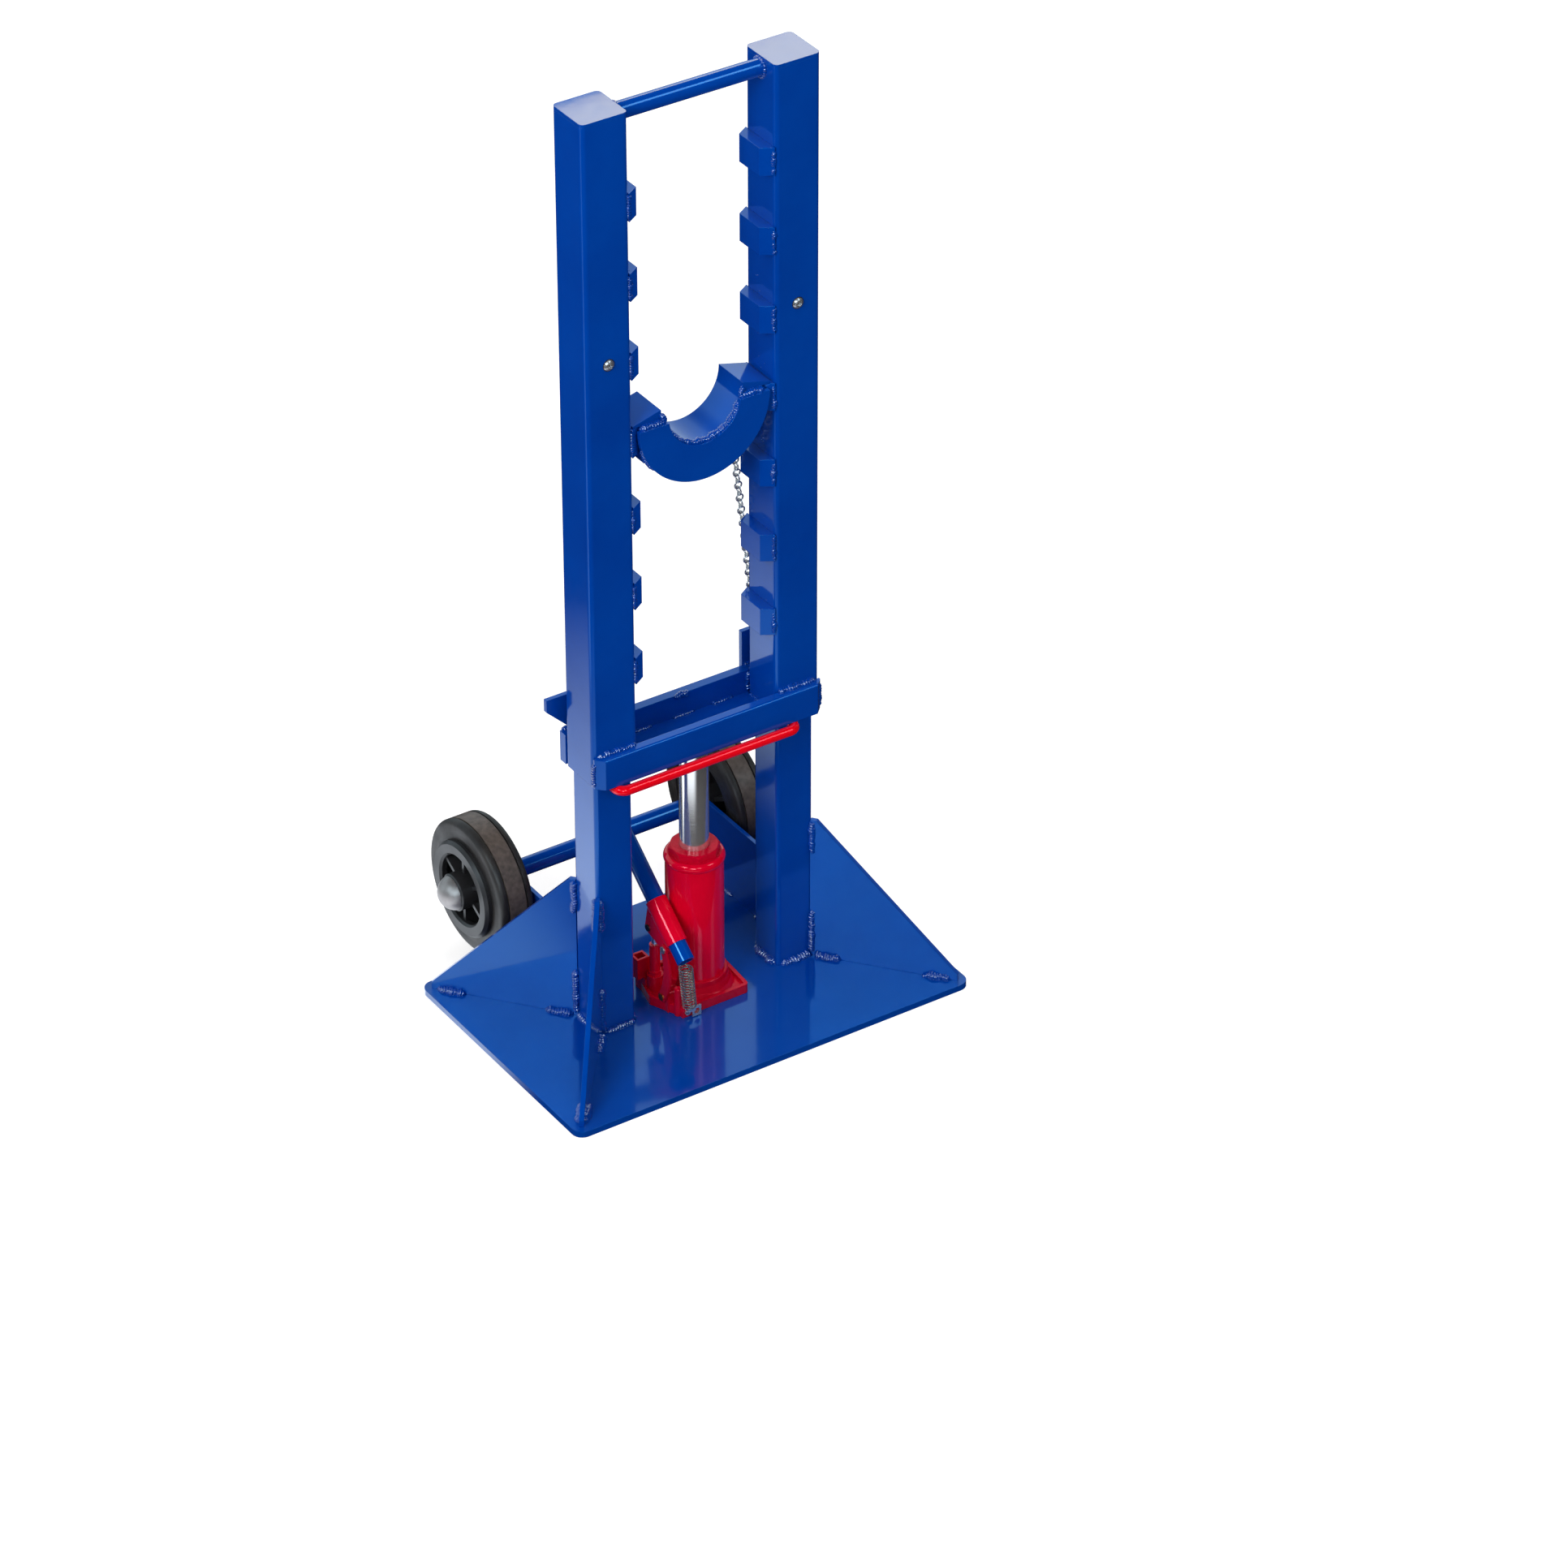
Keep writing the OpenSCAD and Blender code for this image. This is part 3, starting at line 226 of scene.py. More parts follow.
def tyre_rubber():
    """Black rubber: a dusty brown tread band between its grooves and faint rings on its sides."""
    s = Shader("tyre_rubber", Specular_IOR_Level=0.35)
    black, grey, dust = srgb(34, 32, 32), srgb(50, 47, 46), srgb(96, 86, 80)
    split = s.node("ShaderNodeSeparateXYZ", {"Vector": s.position})
    across = s.math("ABSOLUTE", split.outputs["X"])
    y = s.math("SUBTRACT", split.outputs["Y"], AXLE.y)
    z = s.math("SUBTRACT", split.outputs["Z"], AXLE.z)
    radius = s.math("SQRT", s.math("ADD", s.math("MULTIPLY", y, y), s.math("MULTIPLY", z, z)))
    shoulder_w, ring_pitch = 9 * MM, 9 * MM
    band_low, band_high = low("tyre_right").x + shoulder_w, high("tyre_right").x - shoulder_w
    tread_r = (high("tyre_right").z - low("tyre_right").z) / 2
    band = s.math("MULTIPLY", s.ramp(across, band_low, band_low + MM),
                  s.ramp(across, band_high, band_high - MM))
    band = s.math("MULTIPLY", band, s.ramp(radius, tread_r - 3 * MM, tread_r - 2 * MM))
    worn = s.math("MULTIPLY", band, s.ramp(s.noise(160, 5), 0.3, 0.7, 0.45, 1.0))
    s.color(s.mix(worn, s.mix(s.ramp(s.noise(40, 4), 0.4, 0.7), black, grey), dust))
    s.roughness(s.ramp(s.noise(35, 4), 0.3, 0.7, 0.36, 0.55))
    rings = s.math("SINE", s.math("MULTIPLY", radius, 2 * math.pi / ring_pitch))
    s.relief([(rings, 0.25, 0.3 * MM), (s.noise(900, 3), 0.2, 0.1 * MM)], 0.8 * MM)
    return s.material


def turned_steel():
    """The ground ram: fine rings of the grinding wheel on a bright, slightly uneven tone."""
    s = Shader("ram_steel", Metallic=0.85)
    rings = s.noise(1.0, 3, 0.6, s.stretched((6, 6, 1400)))
    s.color(s.mix(s.ramp(s.noise(1.0, 3, 0.5, s.stretched((25, 25, 5))), 0.35, 0.7),
                  srgb(236, 235, 234), srgb(222, 220, 218)))
    s.roughness(s.ramp(rings, 0.3, 0.7, 0.1, 0.2))
    s.relief([(rings, 0.03, 0.02 * MM)], 0.4 * MM)
    return s.material


BLUE_GLEAM, RED_GLEAM, WHITE = (0.02, 0.5, 1.0, 1.0), (1.0, 0.15, 0.2, 1.0), (1, 1, 1, 1)
BLUE = paint("blue_paint", srgb(0, 67, 168), srgb(0, 60, 158), BLUE_GLEAM)
# The base plate's own copy of the blue paint, a little darker: painted shade for how the light
# falls on the plate
BLUE_BASE_SHADED = paint("base_paint_shaded", srgb(0, 64, 159), srgb(0, 58, 150), BLUE_GLEAM)
BLUE_WELD = paint("blue_weld", srgb(0, 66, 166), srgb(0, 52, 144), WHITE,
                  roughness=0.06, edge=0, lumps=0.7, coat=1.0)
RED = paint("red_paint", srgb(232, 2, 44), srgb(214, 0, 38), RED_GLEAM,
            roughness=0.06, coat=0.35, shine=0.6)
RED_NUT = paint("nut_red", srgb(210, 2, 42), srgb(184, 0, 36), RED_GLEAM,
                roughness=0.22, edge=1.2 * MM, lumps=0.3, coat=0.0, shine=0.25)
RED_CAST = paint("red_cast", srgb(214, 4, 42), srgb(184, 2, 36), RED_GLEAM,
                 roughness=0.2, edge=1.4 * MM, lumps=0.5, coat=0.1, shine=0.5)
BRIGHT_RED = paint("bow_red", srgb(250, 8, 28), srgb(238, 2, 24), RED_GLEAM)
RAM = turned_steel()
STEEL = metal("zinc_steel", srgb(204, 204, 206), srgb(168, 168, 172), 0.22, metallic=0.8)
SPRING = metal("spring_steel", srgb(206, 202, 194), srgb(160, 156, 148), 0.16,
               depth=0.1, edge=0, metallic=0.85)
DARK = metal("dark_steel", srgb(84, 84, 88), srgb(58, 58, 62), 0.35)
CHROME = metal("cap_chrome", srgb(168, 163, 162), srgb(138, 133, 133), 0.4,
               stretch=(40, 700, 700), depth=0.06, metallic=0.8)
BRONZE = metal("bush_bronze", srgb(190, 140, 80), srgb(160, 112, 60), 0.3)
RUBBER = tyre_rubber()
RIM = moulded("rim_plastic", srgb(30, 30, 32), srgb(40, 40, 42), 0.3)
PAD = moulded("pad_plastic", srgb(212, 208, 198), srgb(196, 190, 180), 0.4)
PLUG = moulded("plug_rubber", srgb(36, 34, 34), srgb(28, 27, 27), 0.5)

# The finish of each node; those that aren't named here are blue
FINISH = {
    "tyre_left": RUBBER, "tyre_right": RUBBER, "rim_left": RIM, "rim_right": RIM,
    "bush_left": BRONZE, "bush_right": BRONZE, "cap_left": CHROME, "cap_right": CHROME,
    "base_plate": BLUE_BASE_SHADED, "bow": BRIGHT_RED, "socket": RED, "guide_pads": PAD,
    "post_screws": STEEL, "chain": STEEL,
    "jack_base": RED_CAST, "reservoir_tube": RED, "cylinder_tube": DARK, "top_nut": RED_NUT,
    "ram": RAM, "piston": DARK, "pump_cylinder": RED, "plunger": RAM, "links": RED_CAST,
    "link_top_pin": STEEL, "link_bottom_pin": BRONZE, "plunger_pin": DARK,
    "socket_screw": DARK, "return_spring": SPRING, "spring_tab": STEEL,
    "release_valve": STEEL, "filler_plug": PLUG,
}

for name, node in frame["nodes"].items():
    node.data.materials.clear()
    node.data.materials.append(FINISH.get(name, BLUE))


# Return spring


def hooked_spring():
    """The return spring as a piece of its own: a copy of the node's mesh, put in place of the node
    that it hides.
    """
    piece = add_object("hooked_spring", frame["nodes"]["return_spring"].data.copy())
    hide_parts("return_spring")
    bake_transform(piece)


hooked_spring()


# Weld beads

SIDES = (-1, 1)
BEAD_SIDES = 8
BEAD_PITCH = 3.4 * MM  # from one ripple to the next
BEAD_STEP = BEAD_PITCH / 5  # from one ring of the mesh to the next
# Parts of a bead's height, as shares of its radius
BEAD_BODY, BEAD_RIPPLE, BEAD_WANDER = 0.74, 0.34, 0.4
BEAD_CREST = 0.6  # exponent that makes the ripples' crests broad
BEAD_WIDTH = 1.1  # of the height
BEAD_DRIFT = 0.5  # to either side, share of the radius
BEAD_LAG = 0.45  # of the crests behind the flanks, share of the radius
BEAD_TAPER = 1.3  # length of a tapered end, in radii
BEAD_TIP = 0.04  # square of the size that the taper ends at
WANDER_RUN, DRIFT_RUN = 7 * MM, 6 * MM  # lengths over which height and place change
DROP_RADII, DROP_HEIGHT = (0.35, 0.8), 0.6  # of spatter: radii in mm, height as a share
RING_POINTS = 24
ARC_STEPS = 40
SEAM_LIFT = 0.6 * MM  # of a fillet's centre over the face it lies on


def resampled(path, closed):
    """Points at even steps along a path of straight stretches, with the direction at each."""
    corners = [Vector(p) for p in path]
    if closed:
        corners.append(corners[0])
    points, tangents = [], []
    for a, b in zip(corners, corners[1:]):
        count = max(2, round((b - a).length / BEAD_STEP))
        for i in range(count):
            points.append(a.lerp(b, i / count))
            tangents.append((b - a).normalized())
    if not closed:
        points.append(corners[-1])
        tangents.append(tangents[-1])
    return points, tangents


def add_bead(mesh, path, radius, outward, rng, closed=False):
    """Adds one weld bead along a path: overlapping ripples, uneven in size, tapering at its ends.

    outward is the direction in which the bead bulges, or a function that gives it at a point.
    """
    points, tangents = resampled(path, closed)
    phase, seed = rng.uniform(0, 1), rng.uniform(-50, 50)
    rings = []
    for i, (p, t) in enumerate(zip(points, tangents)):
        out = Vector(outward(p)) if callable(outward) else Vector(outward)
        out = (out - out.dot(t) * t).normalized()
        side = t.cross(out)
        run = i * BEAD_STEP
        ripple = abs(math.sin(math.pi * (run / BEAD_PITCH + phase)))
        wander = noise.noise(Vector((seed, seed * 0.7, run / WANDER_RUN)))
        r = radius * (BEAD_BODY + BEAD_RIPPLE * ripple ** BEAD_CREST + BEAD_WANDER * wander)
        if not closed:
            end = min(i, len(points) - 1 - i) * BEAD_STEP / (BEAD_TAPER * radius)
            r *= math.sqrt(max(BEAD_TIP, 1 - (1 - min(1, end)) ** 2))
        shift = noise.noise(Vector((run / DRIFT_RUN, seed, 3))) * radius * BEAD_DRIFT
        ring = []
        for k in range(BEAD_SIDES):
            a = 2 * math.pi * (k + 0.5) / BEAD_SIDES
            lag = -BEAD_LAG * radius * max(0, math.cos(a))
            across = math.sin(a) * r * BEAD_WIDTH + shift
            ring.append(mesh.verts.new(p + side * across + out * (math.cos(a) * r) + t * lag))
        rings.append(ring)
    pairs = list(zip(rings, rings[1:]))
    if closed:
        pairs.append((rings[-1], rings[0]))
    for a, b in pairs:
        for k in range(BEAD_SIDES):
            n = (k + 1) % BEAD_SIDES
            mesh.faces.new((a[k], b[k], b[n], a[n]))
    if not closed:
        mesh.faces.new(rings[0])
        mesh.faces.new(list(reversed(rings[-1])))


def add_ring_bead(mesh, centre, tube_r, radius, side, rng):
    """Adds a bead right round a tube along X, on a face that looks towards -side."""
    x, y, z = centre
    turns = (2 * math.pi * i / RING_POINTS for i in range(RING_POINTS))
    ring = [(x, y + tube_r * math.cos(a), z + tube_r * math.sin(a)) for a in turns]
    add_bead(mesh, ring, radius, lambda p: (-side, (p.y - y) / tube_r, (p.z - z) / tube_r),
             rng, closed=True)


def add_spatter(mesh, centre, spread, normal, rng, count):
    """Adds small flattened drops of weld spatter round a place on a flat face."""
    normal = Vector(normal).normalized()
    u = normal.orthogonal().normalized()
    v = normal.cross(u)
    for _ in range(count):
        spot = Vector(centre) + u * rng.gauss(0, spread) + v * rng.gauss(0, spread)
        r = rng.uniform(*DROP_RADII) * MM
        turn = Matrix.Translation(spot) @ normal.to_track_quat("Z", "Y").to_matrix().to_4x4()
        bmesh.ops.create_uvsphere(mesh, u_segments=8, v_segments=5, radius=r,
                                  matrix=turn @ Matrix.Diagonal((1, 1, DROP_HEIGHT, 1)))


def make_piece(name, body, material, fill):
    """Makes one smooth mesh piece that fill() draws into, and lets it ride with a body."""
    mesh = bmesh.new()
    fill(mesh)
    bmesh.ops.recalc_face_normals(mesh, faces=mesh.faces)
    data = mesh_data(name, mesh)
    for face in data.polygons:
        face.use_smooth = True
    data.materials.append(material)
    piece = add_object(name, data)
    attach(piece, body)


def column_feet(mesh):
    """Fillet welds along the four sides of each column's foot."""
    rng = random.Random(3)
    reach = COLUMN_HALF - 4 * MM
    for side in SIDES:
        x = side * COLUMN_X
        for sx, sy in ((0, -1), (0, 1), (-1, 0), (1, 0)):
            cx, cy = x + sx * COLUMN_HALF, sy * COLUMN_HALF
            along = Vector((sy, sx, 0)) * reach
            middle = Vector((cx, cy, BASE_TOP + SEAM_LIFT))
            add_bead(mesh, [middle - along, middle + along], 5.6 * MM, (sx, sy, 1), rng)


def gusset_lines():
    """For each gusset: its foot's inner and outer end, the ways along and across it, its top."""
    inset = 1.5 * MM
    for name, sx, sy in (("gusset_front_left", -1, -1), ("gusset_front_right", 1, -1),
                         ("gusset_rear_left", -1, 1), ("gusset_rear_right", 1, 1)):
        lo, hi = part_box(name)
        inner = Vector((sx * (COLUMN_X + COLUMN_HALF - inset), sy * (COLUMN_HALF - inset),
                        BASE_TOP))
        outer = Vector((lo.x if sx < 0 else hi.x, lo.y if sy < 0 else hi.y, BASE_TOP))
        along = (outer - inner).normalized()
        yield inner, outer, along, Vector((-along.y, along.x, 0)), hi.z


def gusset_stitches(mesh):
    """Stitch welds of the gussets: at both ends of the foot, high and low on the corner."""
    rng = random.Random(5)
    half_t = 3 * MM
    for inner, outer, along, across, top in gusset_lines():
        for flank in SIDES:
            out = across * flank
            lift = Vector((0, 0, SEAM_LIFT)) + out * half_t
            for a, b in ((outer - along * 44 * MM, outer - along * 9 * MM),
                         (inner + along * 8 * MM, inner + along * 42 * MM)):
                add_bead(mesh, [a + lift, b + lift], 6.2 * MM, out + Vector((0, 0, 1)), rng)
            corner = inner + along * 2.5 * MM + out * half_t
            for z0, z1 in ((top - 46 * MM, top - 1 * MM), (BASE_TOP + 6 * MM, BASE_TOP + 66 * MM)):
                add_bead(mesh, [(corner.x, corner.y, z0), (corner.x, corner.y, z1)],
                         4.0 * MM, out + along, rng)


def bracket_welds(mesh):
    """Seams of the wheel brackets on the base plate and columns, and of the cross tube on them."""
    rng = random.Random(7)
    tube_r, stitch = 11 * MM, 38 * MM
    back = high("base_plate").y
    for name, side in (("bracket_left", -1), ("bracket_right", 1)):
        lo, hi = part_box(name)
        inner, outer = (hi.x, lo.x) if side < 0 else (lo.x, hi.x)
        for x, out in ((inner, -side), (outer, side)):
            for y0 in (40 * MM, 128 * MM):
                add_bead(mesh, [(x, y0, BASE_TOP), (x, y0 + stitch, BASE_TOP)],
                         3.2 * MM, (out, 0, 1), rng)
            add_bead(mesh, [(x, COLUMN_HALF, BASE_TOP + 20 * MM), (x, COLUMN_HALF, hi.z - 4 * MM)],
                     3.0 * MM, (out, 1, 0), rng)
        add_bead(mesh, [(inner, back, 6 * MM), (outer, back, 6 * MM)], 2.4 * MM, (0, 1, 1), rng)
        add_ring_bead(mesh, (inner - side * 0.8 * MM, AXLE.y, AXLE.z), tube_r, 3.0 * MM, side, rng)


def frame_welds(mesh):
    """Seams of the flat bars, the seat plate and the lugs at the posts' feet."""
    rng = random.Random(11)
    front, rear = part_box("front_bar"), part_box("rear_bar")
    lug_low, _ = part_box("rear_lugs")
    front_top, rear_top, rear_face = front[1].z, rear[1].z, rear[0].y
    seat_top = high("seat_plate").z
    for side in SIDES:
        x0, x1 = side * (POST_IN + 4 * MM), side * (POST_OUT - 5 * MM)
        front_y, rear_y = -POST_HALF - 0.5 * MM, POST_HALF + 0.5 * MM
        add_bead(mesh, [(x0, front_y, front_top), (x1, front_y, front_top)],
                 4.2 * MM, (0, -1, 1), rng)
        add_bead(mesh, [(x0, rear_y, rear_top), (x1, rear_y, rear_top)],
                 4.0 * MM, (0, 1, 1), rng)
        inner = side * POST_IN
        for y, out in ((-POST_HALF, 1), (POST_HALF, -1)):
            add_bead(mesh, [(inner, y, seat_top + 3 * MM), (inner, y, front_top - 2 * MM)],
                     3.0 * MM, (-side, out, 0), rng)
        reach = POST_HALF - 4 * MM
        add_bead(mesh, [(inner, -reach, seat_top), (inner, reach, seat_top)],
                 3.2 * MM, (-side, 0, 1), rng)
        outer, foot_y = side * POST_OUT, -POST_HALF - 1 * MM
        add_bead(mesh, [(outer, foot_y, FRAME_LOW + 3 * MM), (outer, foot_y, front_top - 6 * MM)],
                 2.6 * MM, (side, 0, 0), rng)
    for y, out, xs in ((-POST_HALF, 1, (-60, 10)), (POST_HALF, -1, (-66, -8, 46))):
        for x in xs:
            add_bead(mesh, [(x * MM, y, seat_top), ((x + 30) * MM, y, seat_top)],
                     3.0 * MM, (0, out, 1), rng)
    add_bead(mesh, [(-6 * MM, rear_face, rear_top - MM), (14 * MM, rear_face, rear_top - MM)],
             3.6 * MM, (0, -1, 1), rng)
    for side in SIDES:
        add_bead(mesh, [(side * (POST_IN + 3 * MM), lug_low.y, rear_top),
                        (side * (POST_OUT - 2 * MM), lug_low.y, rear_top)],
                 2.8 * MM, (0, -1, 1), rng)


def step_welds(mesh):
    """Upright seams on the flared ends of each bracket step, and a little spatter on the post."""
    rng = random.Random(13)
    lo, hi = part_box("steps_right")
    height, pitch, drops, spread = 35 * MM, 100 * MM, 5, 9 * MM
    count = round((hi.z - lo.z - height) / pitch) + 1
    for side in SIDES:
        x = side * (POST_IN - 0.6 * MM)
        for i in range(count):
            z0 = lo.z + i * pitch
            for y_side in SIDES:
                y = y_side * (hi.y - 3.2 * MM)
                a, b = z0 + rng.uniform(0.5, 3) * MM, z0 + height - rng.uniform(0.5, 3) * MM
                add_bead(mesh, [(x, y, a), (x, y, b)], 3.3 * MM, (-side, 0.7 * y_side, 0), rng)
            for end in (z0, z0 + height):
                centre = (side * POST_IN, 0, end + rng.uniform(-16, 16) * MM)
                add_spatter(mesh, centre, spread, (-side, 0, 0), rng, drops)


def screw_shadow_rims(mesh):
    """A dark ring round each button-head screw: painted shade for the gap of its clearance hole
    round the head.
    """
    round_steps, wire_steps = 32, 6
    wire_w, wire_h, gap = 0.8 * MM, 0.5 * MM, 0.5 * MM
    corners = [v.co for v in frame["nodes"]["post_screws"].data.vertices]
    for side in SIDES:
        head = [v for v in corners if v.x * side > 0 and v.y < -POST_HALF]
        x = (min(v.x for v in head) + max(v.x for v in head)) / 2
        z = (min(v.z for v in head) + max(v.z for v in head)) / 2
        r = max(v.x for v in head) - x + gap
        rings = []
        for k in range(round_steps):
            a = 2 * math.pi * k / round_steps
            ring = []
            for j in range(wire_steps):
                b = 2 * math.pi * j / wire_steps
                reach, y = r + wire_w * math.cos(b), -POST_HALF - wire_h * math.sin(b)
                ring.append(mesh.verts.new((x + reach * math.cos(a), y, z + reach * math.sin(a))))
            rings.append(ring)
        for ring, following in zip(rings, rings[1:] + rings[:1]):
            for j in range(wire_steps):
                n = (j + 1) % wire_steps
                mesh.faces.new((ring[j], following[j], following[n], ring[n]))


def bar_welds(mesh):
    """Ring seams where the round top bar meets the posts."""
    rng = random.Random(17)
    lo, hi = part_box("top_bar")
    z, r = (lo.z + hi.z) / 2, (hi.z - lo.z) / 2
    for side in SIDES:
        add_ring_bead(mesh, (side * (POST_IN - 0.8 * MM), 0, z), r, 2.6 * MM, side, rng)


def bow_welds(mesh):
    """Short seams between the bow's legs and the front bar above them."""
    rng = random.Random(19)
    lo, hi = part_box("bow")
    leg_r = (hi.z - lo.z) / 2
    front, seam_z = low("front_bar").y, hi.z - 1.5 * MM
    for x in (lo.x + leg_r, hi.x - leg_r):
        for out in SIDES:
            edge = x + out * leg_r * 0.7
            add_bead(mesh, [(edge, front + 3 * MM, seam_z), (edge, -POST_HALF - 1 * MM, seam_z)],
                     1.8 * MM, (out, 0, -0.3), rng)


def arc(radius, centre_z, y, from_deg, to_deg):
    """Points of an arc round the Y direction, over x = 0."""
    turns = (from_deg + (to_deg - from_deg) * i / ARC_STEPS for i in range(ARC_STEPS + 1))
    angles = [math.radians(turn) for turn in turns]
    return [(radius * math.cos(a), y, centre_z + radius * math.sin(a)) for a in angles]


def saddle_welds(mesh):
    """Seams of the half-ring plate on the saddle's body: in the seat, on the shoulders, below."""
    rng = random.Random(23)
    _, body_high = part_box("saddle_body")
    _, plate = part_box("saddle_plate")
    y, seat_z = plate.y - 0.4 * MM, body_high.z
    seat_r, bore_r, bore_z = 54.5 * MM, 48 * MM, plate.z + 7 * MM
    middle_r, middle_z = (seat_r + bore_r) / 2 + 0.6 * MM, (seat_z + bore_z) / 2
    add_bead(mesh, arc(middle_r, middle_z, y, 197, 343), 3.6 * MM,
             lambda p: (-p.x, -0.03, middle_z - p.z), rng)
    root, tip, slope_end, top = 50 * MM, plate.x - 3 * MM, 55 * MM, plate.z + 1 * MM
    for side in SIDES:
        add_bead(mesh, [(side * root, y, top), (side * tip, y, top)], 4.4 * MM, (0, -1, 1), rng)
        add_bead(mesh, [(side * root, y, top), (side * slope_end, y, seat_z - 4 * MM)],
                 3.0 * MM, (0, -1, 0.2), rng)
    for from_deg, to_deg in ((198, 222), (318, 342)):
        add_bead(mesh, arc(plate.x - 1 * MM, plate.z, y, from_deg, to_deg), 2.6 * MM,
                 lambda p: (p.x, -0.03, p.z - plate.z), rng)


make_piece("column_foot_welds", "base", BLUE_WELD, column_feet)
make_piece("gusset_welds", "base", BLUE_WELD, gusset_stitches)
make_piece("bracket_welds", "base", BLUE_WELD, bracket_welds)
make_piece("frame_foot_welds", "frame", BLUE_WELD, frame_welds)
make_piece("step_welds", "frame", BLUE_WELD, step_welds)
make_piece("top_bar_welds", "frame", BLUE_WELD, bar_welds)
make_piece("bow_welds", "frame", BRIGHT_RED, bow_welds)
make_piece("saddle_welds", "saddle", BLUE_WELD, saddle_welds)
# Dark rings round the post screws: painted shade for the gaps round their heads
make_piece("screw_shadow_rims", "frame", PLUG, screw_shadow_rims)


# Floor, light and camera

class Stage:
    """Adds shaders to a floor or world tree, each shown to one kind of ray only."""

    def __init__(self, tree, output):
        self.tree = tree
        self.path = tree.nodes.new("ShaderNodeLightPath")
        self.surface = output.inputs["Surface"]

    def show(self, shader, ray):
        """Lets this kind of ray see the shader, and every other ray what was there before."""
        gate = self.tree.nodes.new("ShaderNodeMixShader")
        self.tree.links.new(self.path.outputs[ray], gate.inputs[0])
        self.tree.links.new(self.surface.links[0].from_socket, gate.inputs[1])
        self.tree.links.new(shader, gate.inputs[2])
        self.tree.links.new(gate.outputs[0], self.surface)

    def fade(self, value, start, full, top=1.0, kind="LINEAR"):
        """0 at start, growing to top at full. Start may be the larger of the two."""
        made = self.tree.nodes.new("ShaderNodeMapRange")
        made.interpolation_type = kind
        made.inputs["From Min"].default_value, made.inputs["From Max"].default_value = start, full
        made.inputs["To Max"].default_value = top
        self.tree.links.new(value, made.inputs["Value"])
        return made.outputs["Result"]

    def window(self, value, start, full):
        """0 at start and 1 at full, with a soft step between."""
        return self.fade(value, start, full, kind="SMOOTHSTEP")

    def math(self, operation, a, b=0.0):
        made = self.tree.nodes.new("ShaderNodeMath")
        made.operation = operation
        for socket, value in zip(made.inputs, (a, b)):
            if isinstance(value, bpy.types.NodeSocket):
                self.tree.links.new(value, socket)
            else:
                socket.default_value = value
        return made.outputs[0]

    def lamp(self, toward, angle, power):
        """A round patch of the sky with a soft edge."""
        made = self.tree.nodes.new("ShaderNodeVectorMath")
        made.operation = "DOT_PRODUCT"
        made.inputs[1].default_value = Vector(toward).normalized()
        self.tree.links.new(self.coordinates("Generated"), made.inputs[0])
        outer, inner = (math.cos(math.radians(angle + soft)) for soft in (LAMP_EDGE, -LAMP_EDGE))
        return self.fade(made.outputs["Value"], outer, inner, power)

    def coordinates(self, output):
        return self.tree.nodes.new("ShaderNodeTexCoord").outputs[output]

    def split(self, output):
        made = self.tree.nodes.new("ShaderNodeSeparateXYZ")
        self.tree.links.new(self.coordinates(output), made.inputs[0])
        return made.outputs


FLOOR_REACH = 14
FLOOR_DROP = 0.2 * MM  # keeps the floor from meeting the base plate's face
PAPER, PAPER_GLOW = (0.6, 0.6, 0.6, 1), 0.62
SKY_LIGHT = 0.45
# What gloss sees: the tints of floor and sky, and the brightness where nothing lights them
GLOSS_PAPER, GLOSS_SKY = (0.93, 1.0, 1.08, 1), (0.8, 1.0, 1.1, 1)
DIM = 0.01
LAMP_EDGE = 3  # half the width of a gloss lamp's soft edge, in degrees
GLOSS_LAMPS = (
    # direction, half angle in degrees, brightness
    ((-0.56, -0.72, 0.40), 8, 16.0),
    ((0.46, -0.56, 0.69), 8, 7.0),
    ((-0.75, -0.25, 0.61), 7, 16.0),
    ((-0.20, -0.80, 0.56), 5, 12.0),
)


def floor():
    """A white floor. In gloss only two parts left of the stand are bright, one near and one far."""
    mesh = bmesh.new()
    bmesh.ops.create_grid(mesh, x_segments=2, y_segments=2, size=FLOOR_REACH)
    obj = add_object("floor", mesh_data("floor", mesh))
    obj.location.z = -FLOOR_DROP
    material = bpy.data.materials.new("floor")
    material.use_nodes = True
    tree = material.node_tree
    paper = tree.nodes["Principled BSDF"]
    paper.inputs["Base Color"].default_value = PAPER
    paper.inputs["Roughness"].default_value = 0.9
    paper.inputs["Specular IOR Level"].default_value = 0.0
    glow = tree.nodes.new("ShaderNodeEmission")
    glow.inputs["Strength"].default_value = PAPER_GLOW
    both = tree.nodes.new("ShaderNodeAddShader")
    tree.links.new(paper.outputs[0], both.inputs[0])
    tree.links.new(glow.outputs[0], both.inputs[1])
    stage = Stage(tree, tree.nodes["Material Output"])
    x, y, _ = stage.split("Object")
    squares = stage.math("ADD", stage.math("MULTIPLY", x, x), stage.math("MULTIPLY", y, y))
    radius = stage.math("SQRT", squares)
    left = stage.math("MULTIPLY", stage.window(x, -0.05, -0.3), stage.fade(radius, 1.05, 0.44, 2.1))
    behind = stage.math("MAXIMUM", stage.window(y, -0.1, 0.05), stage.window(radius, 0.4, 0.5))
    aside = stage.math("ABSOLUTE", y)
    strip = stage.math("MULTIPLY", stage.fade(aside, 0.34, 0.18, 1.3), stage.window(x, -0.8, -1.0))
    lit = stage.math("MAXIMUM", stage.math("MULTIPLY", left, behind), strip)
    gloss = tree.nodes.new("ShaderNodeEmission")
    gloss.inputs["Color"].default_value = GLOSS_PAPER
    tree.links.new(stage.math("MAXIMUM", lit, DIM), gloss.inputs["Strength"])
    stage.show(gloss.outputs[0], "Is Glossy Ray")
    stage.show(both.outputs[0], "Is Camera Ray")
    obj.data.materials.append(material)


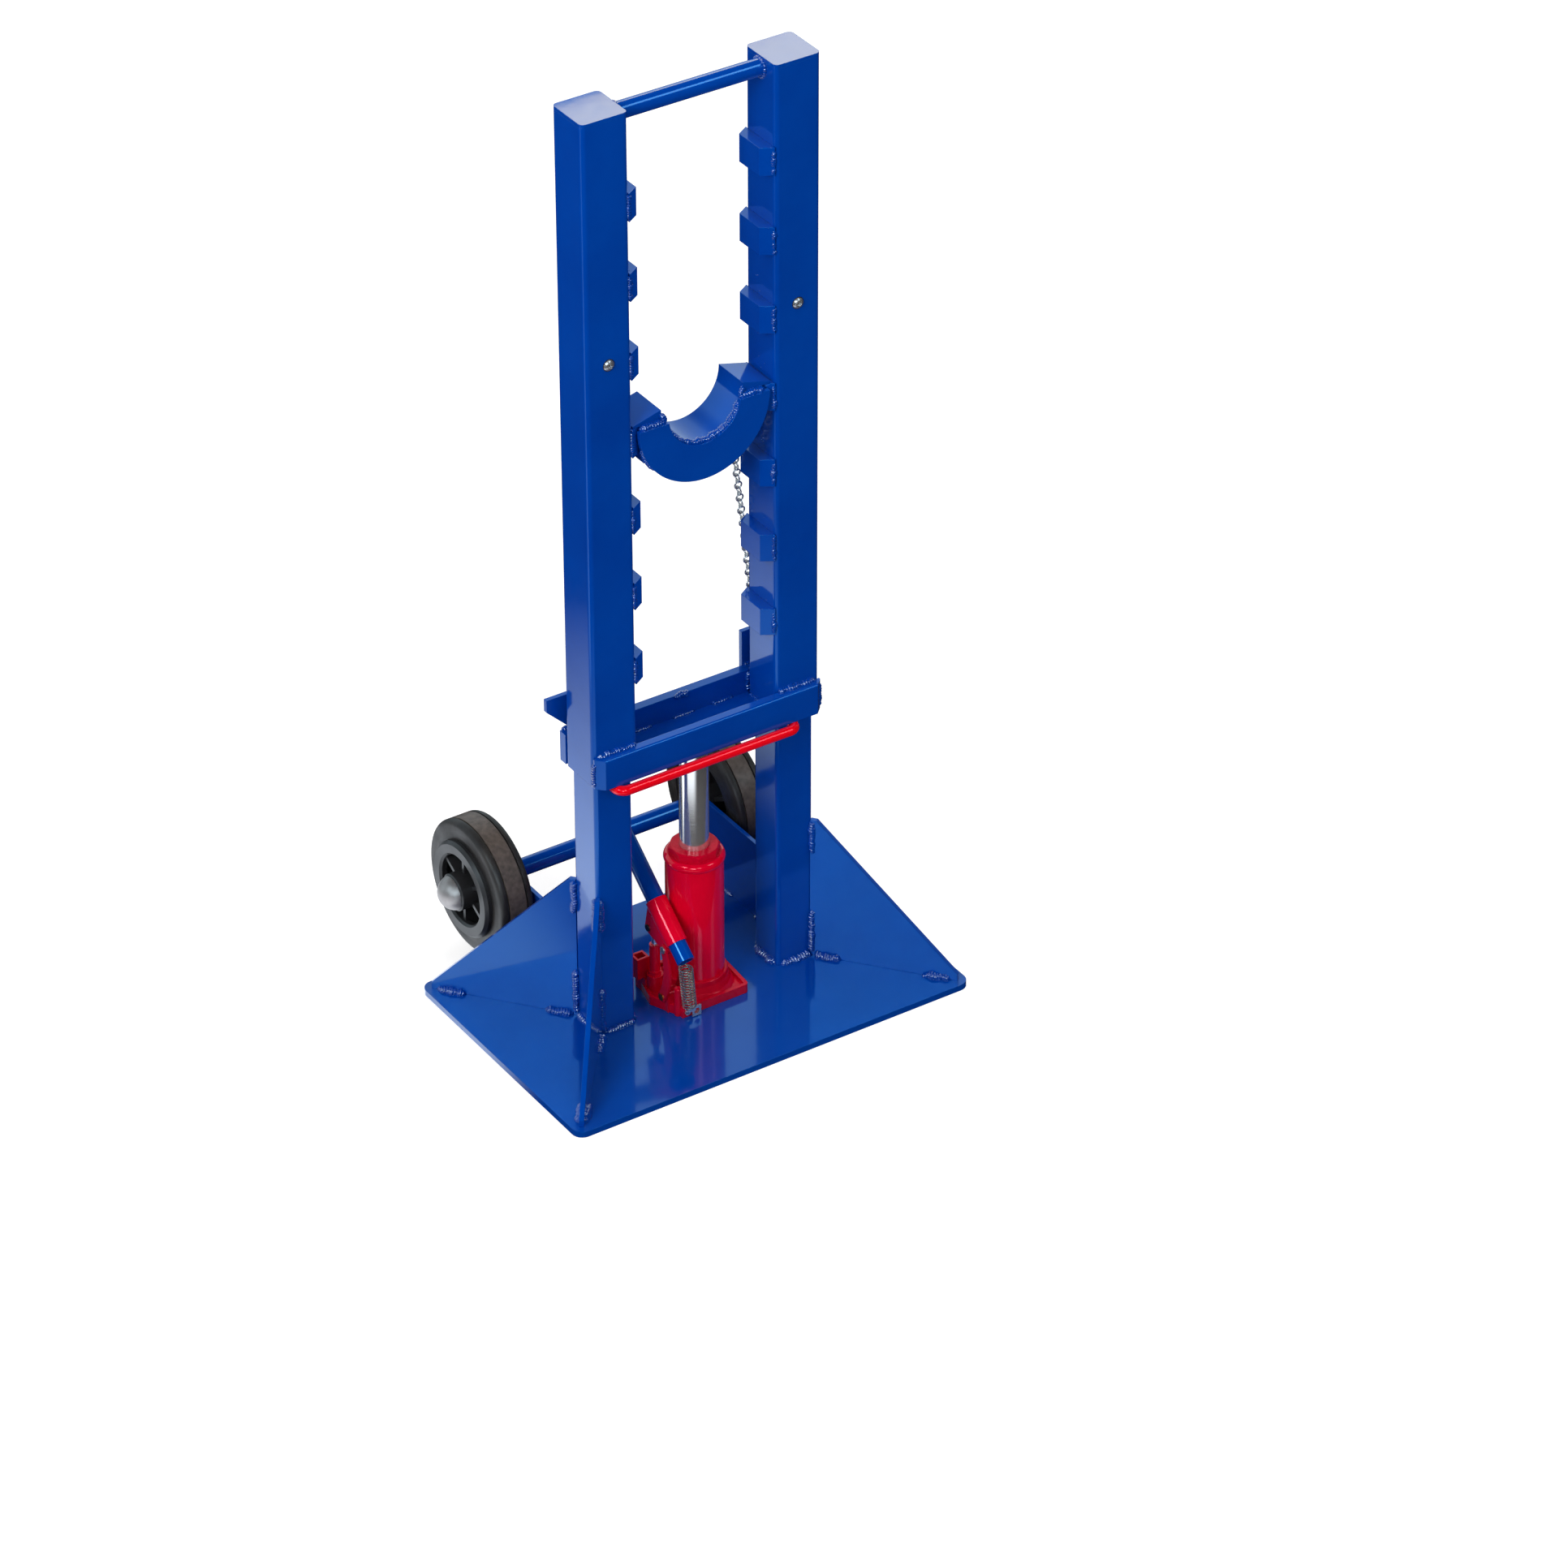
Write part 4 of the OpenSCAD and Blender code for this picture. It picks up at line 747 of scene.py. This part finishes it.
def world():
    """White to the camera. In gloss a white wall behind the stand and four lamps, dim elsewhere."""
    made = bpy.data.worlds.new("studio")
    bpy.context.scene.world = made
    made.use_nodes = True
    tree = made.node_tree
    tree.nodes["Background"].inputs["Color"].default_value = WHITE
    tree.nodes["Background"].inputs["Strength"].default_value = SKY_LIGHT
    white = tree.nodes.new("ShaderNodeBackground")
    white.inputs["Color"].default_value = WHITE
    gloss = tree.nodes.new("ShaderNodeBackground")
    gloss.inputs["Color"].default_value = GLOSS_SKY
    stage = Stage(tree, tree.nodes["World Output"])
    _, y, z = stage.split("Generated")
    seen = stage.math("MULTIPLY", stage.window(y, -0.1, 0.4), stage.fade(z, 0.72, 0.62, 1.0))
    for toward, angle, power in GLOSS_LAMPS:
        seen = stage.math("MAXIMUM", seen, stage.lamp(toward, angle, power))
    tree.links.new(stage.math("MAXIMUM", seen, DIM), gloss.inputs["Strength"])
    stage.show(gloss.outputs[0], "Is Glossy Ray")
    stage.show(white.outputs[0], "Is Camera Ray")


SOFTBOXES = (
    # name, place, target, size, power
    ("key", (-2.4, -1.0, 2.2), (0, 0, 0.5), (1.2, 1.6), 50),
    ("fill", (1.4, -2.6, 1.9), (0, 0, 0.6), (1.4, 1.8), 9),
    ("top", (0.0, -0.5, 3.2), (0, -0.1, 0), (1.2, 0.8), 14),
    ("rear", (1.2, 2.4, 2.4), (0, 0, 0.5), (1.6, 1.6), 30),
)


def softbox(name, place, target, size, power, gloss=False, tint=(1, 1, 1), roll=0.0):
    """A rectangular lamp aimed at a target, hidden from the camera, and from gloss unless asked."""
    light = bpy.data.lights.new(name, "AREA")
    light.color = tint
    light.shape = "RECTANGLE"
    light.size, light.size_y = size
    light.energy = power
    obj = add_object(name, light)
    obj.location = place
    aim = (Vector(target) - Vector(place)).to_track_quat("-Z", "Y")
    obj.rotation_euler = (aim @ Quaternion((0, 0, 1), math.radians(roll))).to_euler()
    obj.visible_camera = False
    obj.visible_glossy = gloss


def camera():
    """The photograph's viewing angle: from the front left and above, through a long lens."""
    azimuth, elevation = math.radians(33.52), math.radians(33.92)
    place = Vector((-3.4286, -5.3666, 4.5751))
    lens_px, frame_px = 8120, 1932  # focal length and picture width, in pixels of the photo
    level = math.cos(elevation)
    forward = Vector((math.sin(azimuth) * level, math.cos(azimuth) * level, -math.sin(elevation)))
    data = bpy.data.cameras.new("camera")
    data.sensor_width = 36
    data.lens = lens_px / frame_px * data.sensor_width
    obj = add_object("camera", data)
    obj.location = place
    obj.rotation_euler = forward.to_track_quat("-Z", "Y").to_euler()
    bpy.context.scene.camera = obj


floor()
world()
for box in SOFTBOXES:
    softbox(*box)
# A warm card that the frame's top faces mirror to the camera
softbox("card", (0.183, 0.277, 1.44), (0, 0, 1.217), (0.37, 0.12), 0.6, gloss=True,
        tint=(1, 0.72, 0.3), roll=20)
camera()

bpy.context.scene.view_settings.view_transform = "Standard"
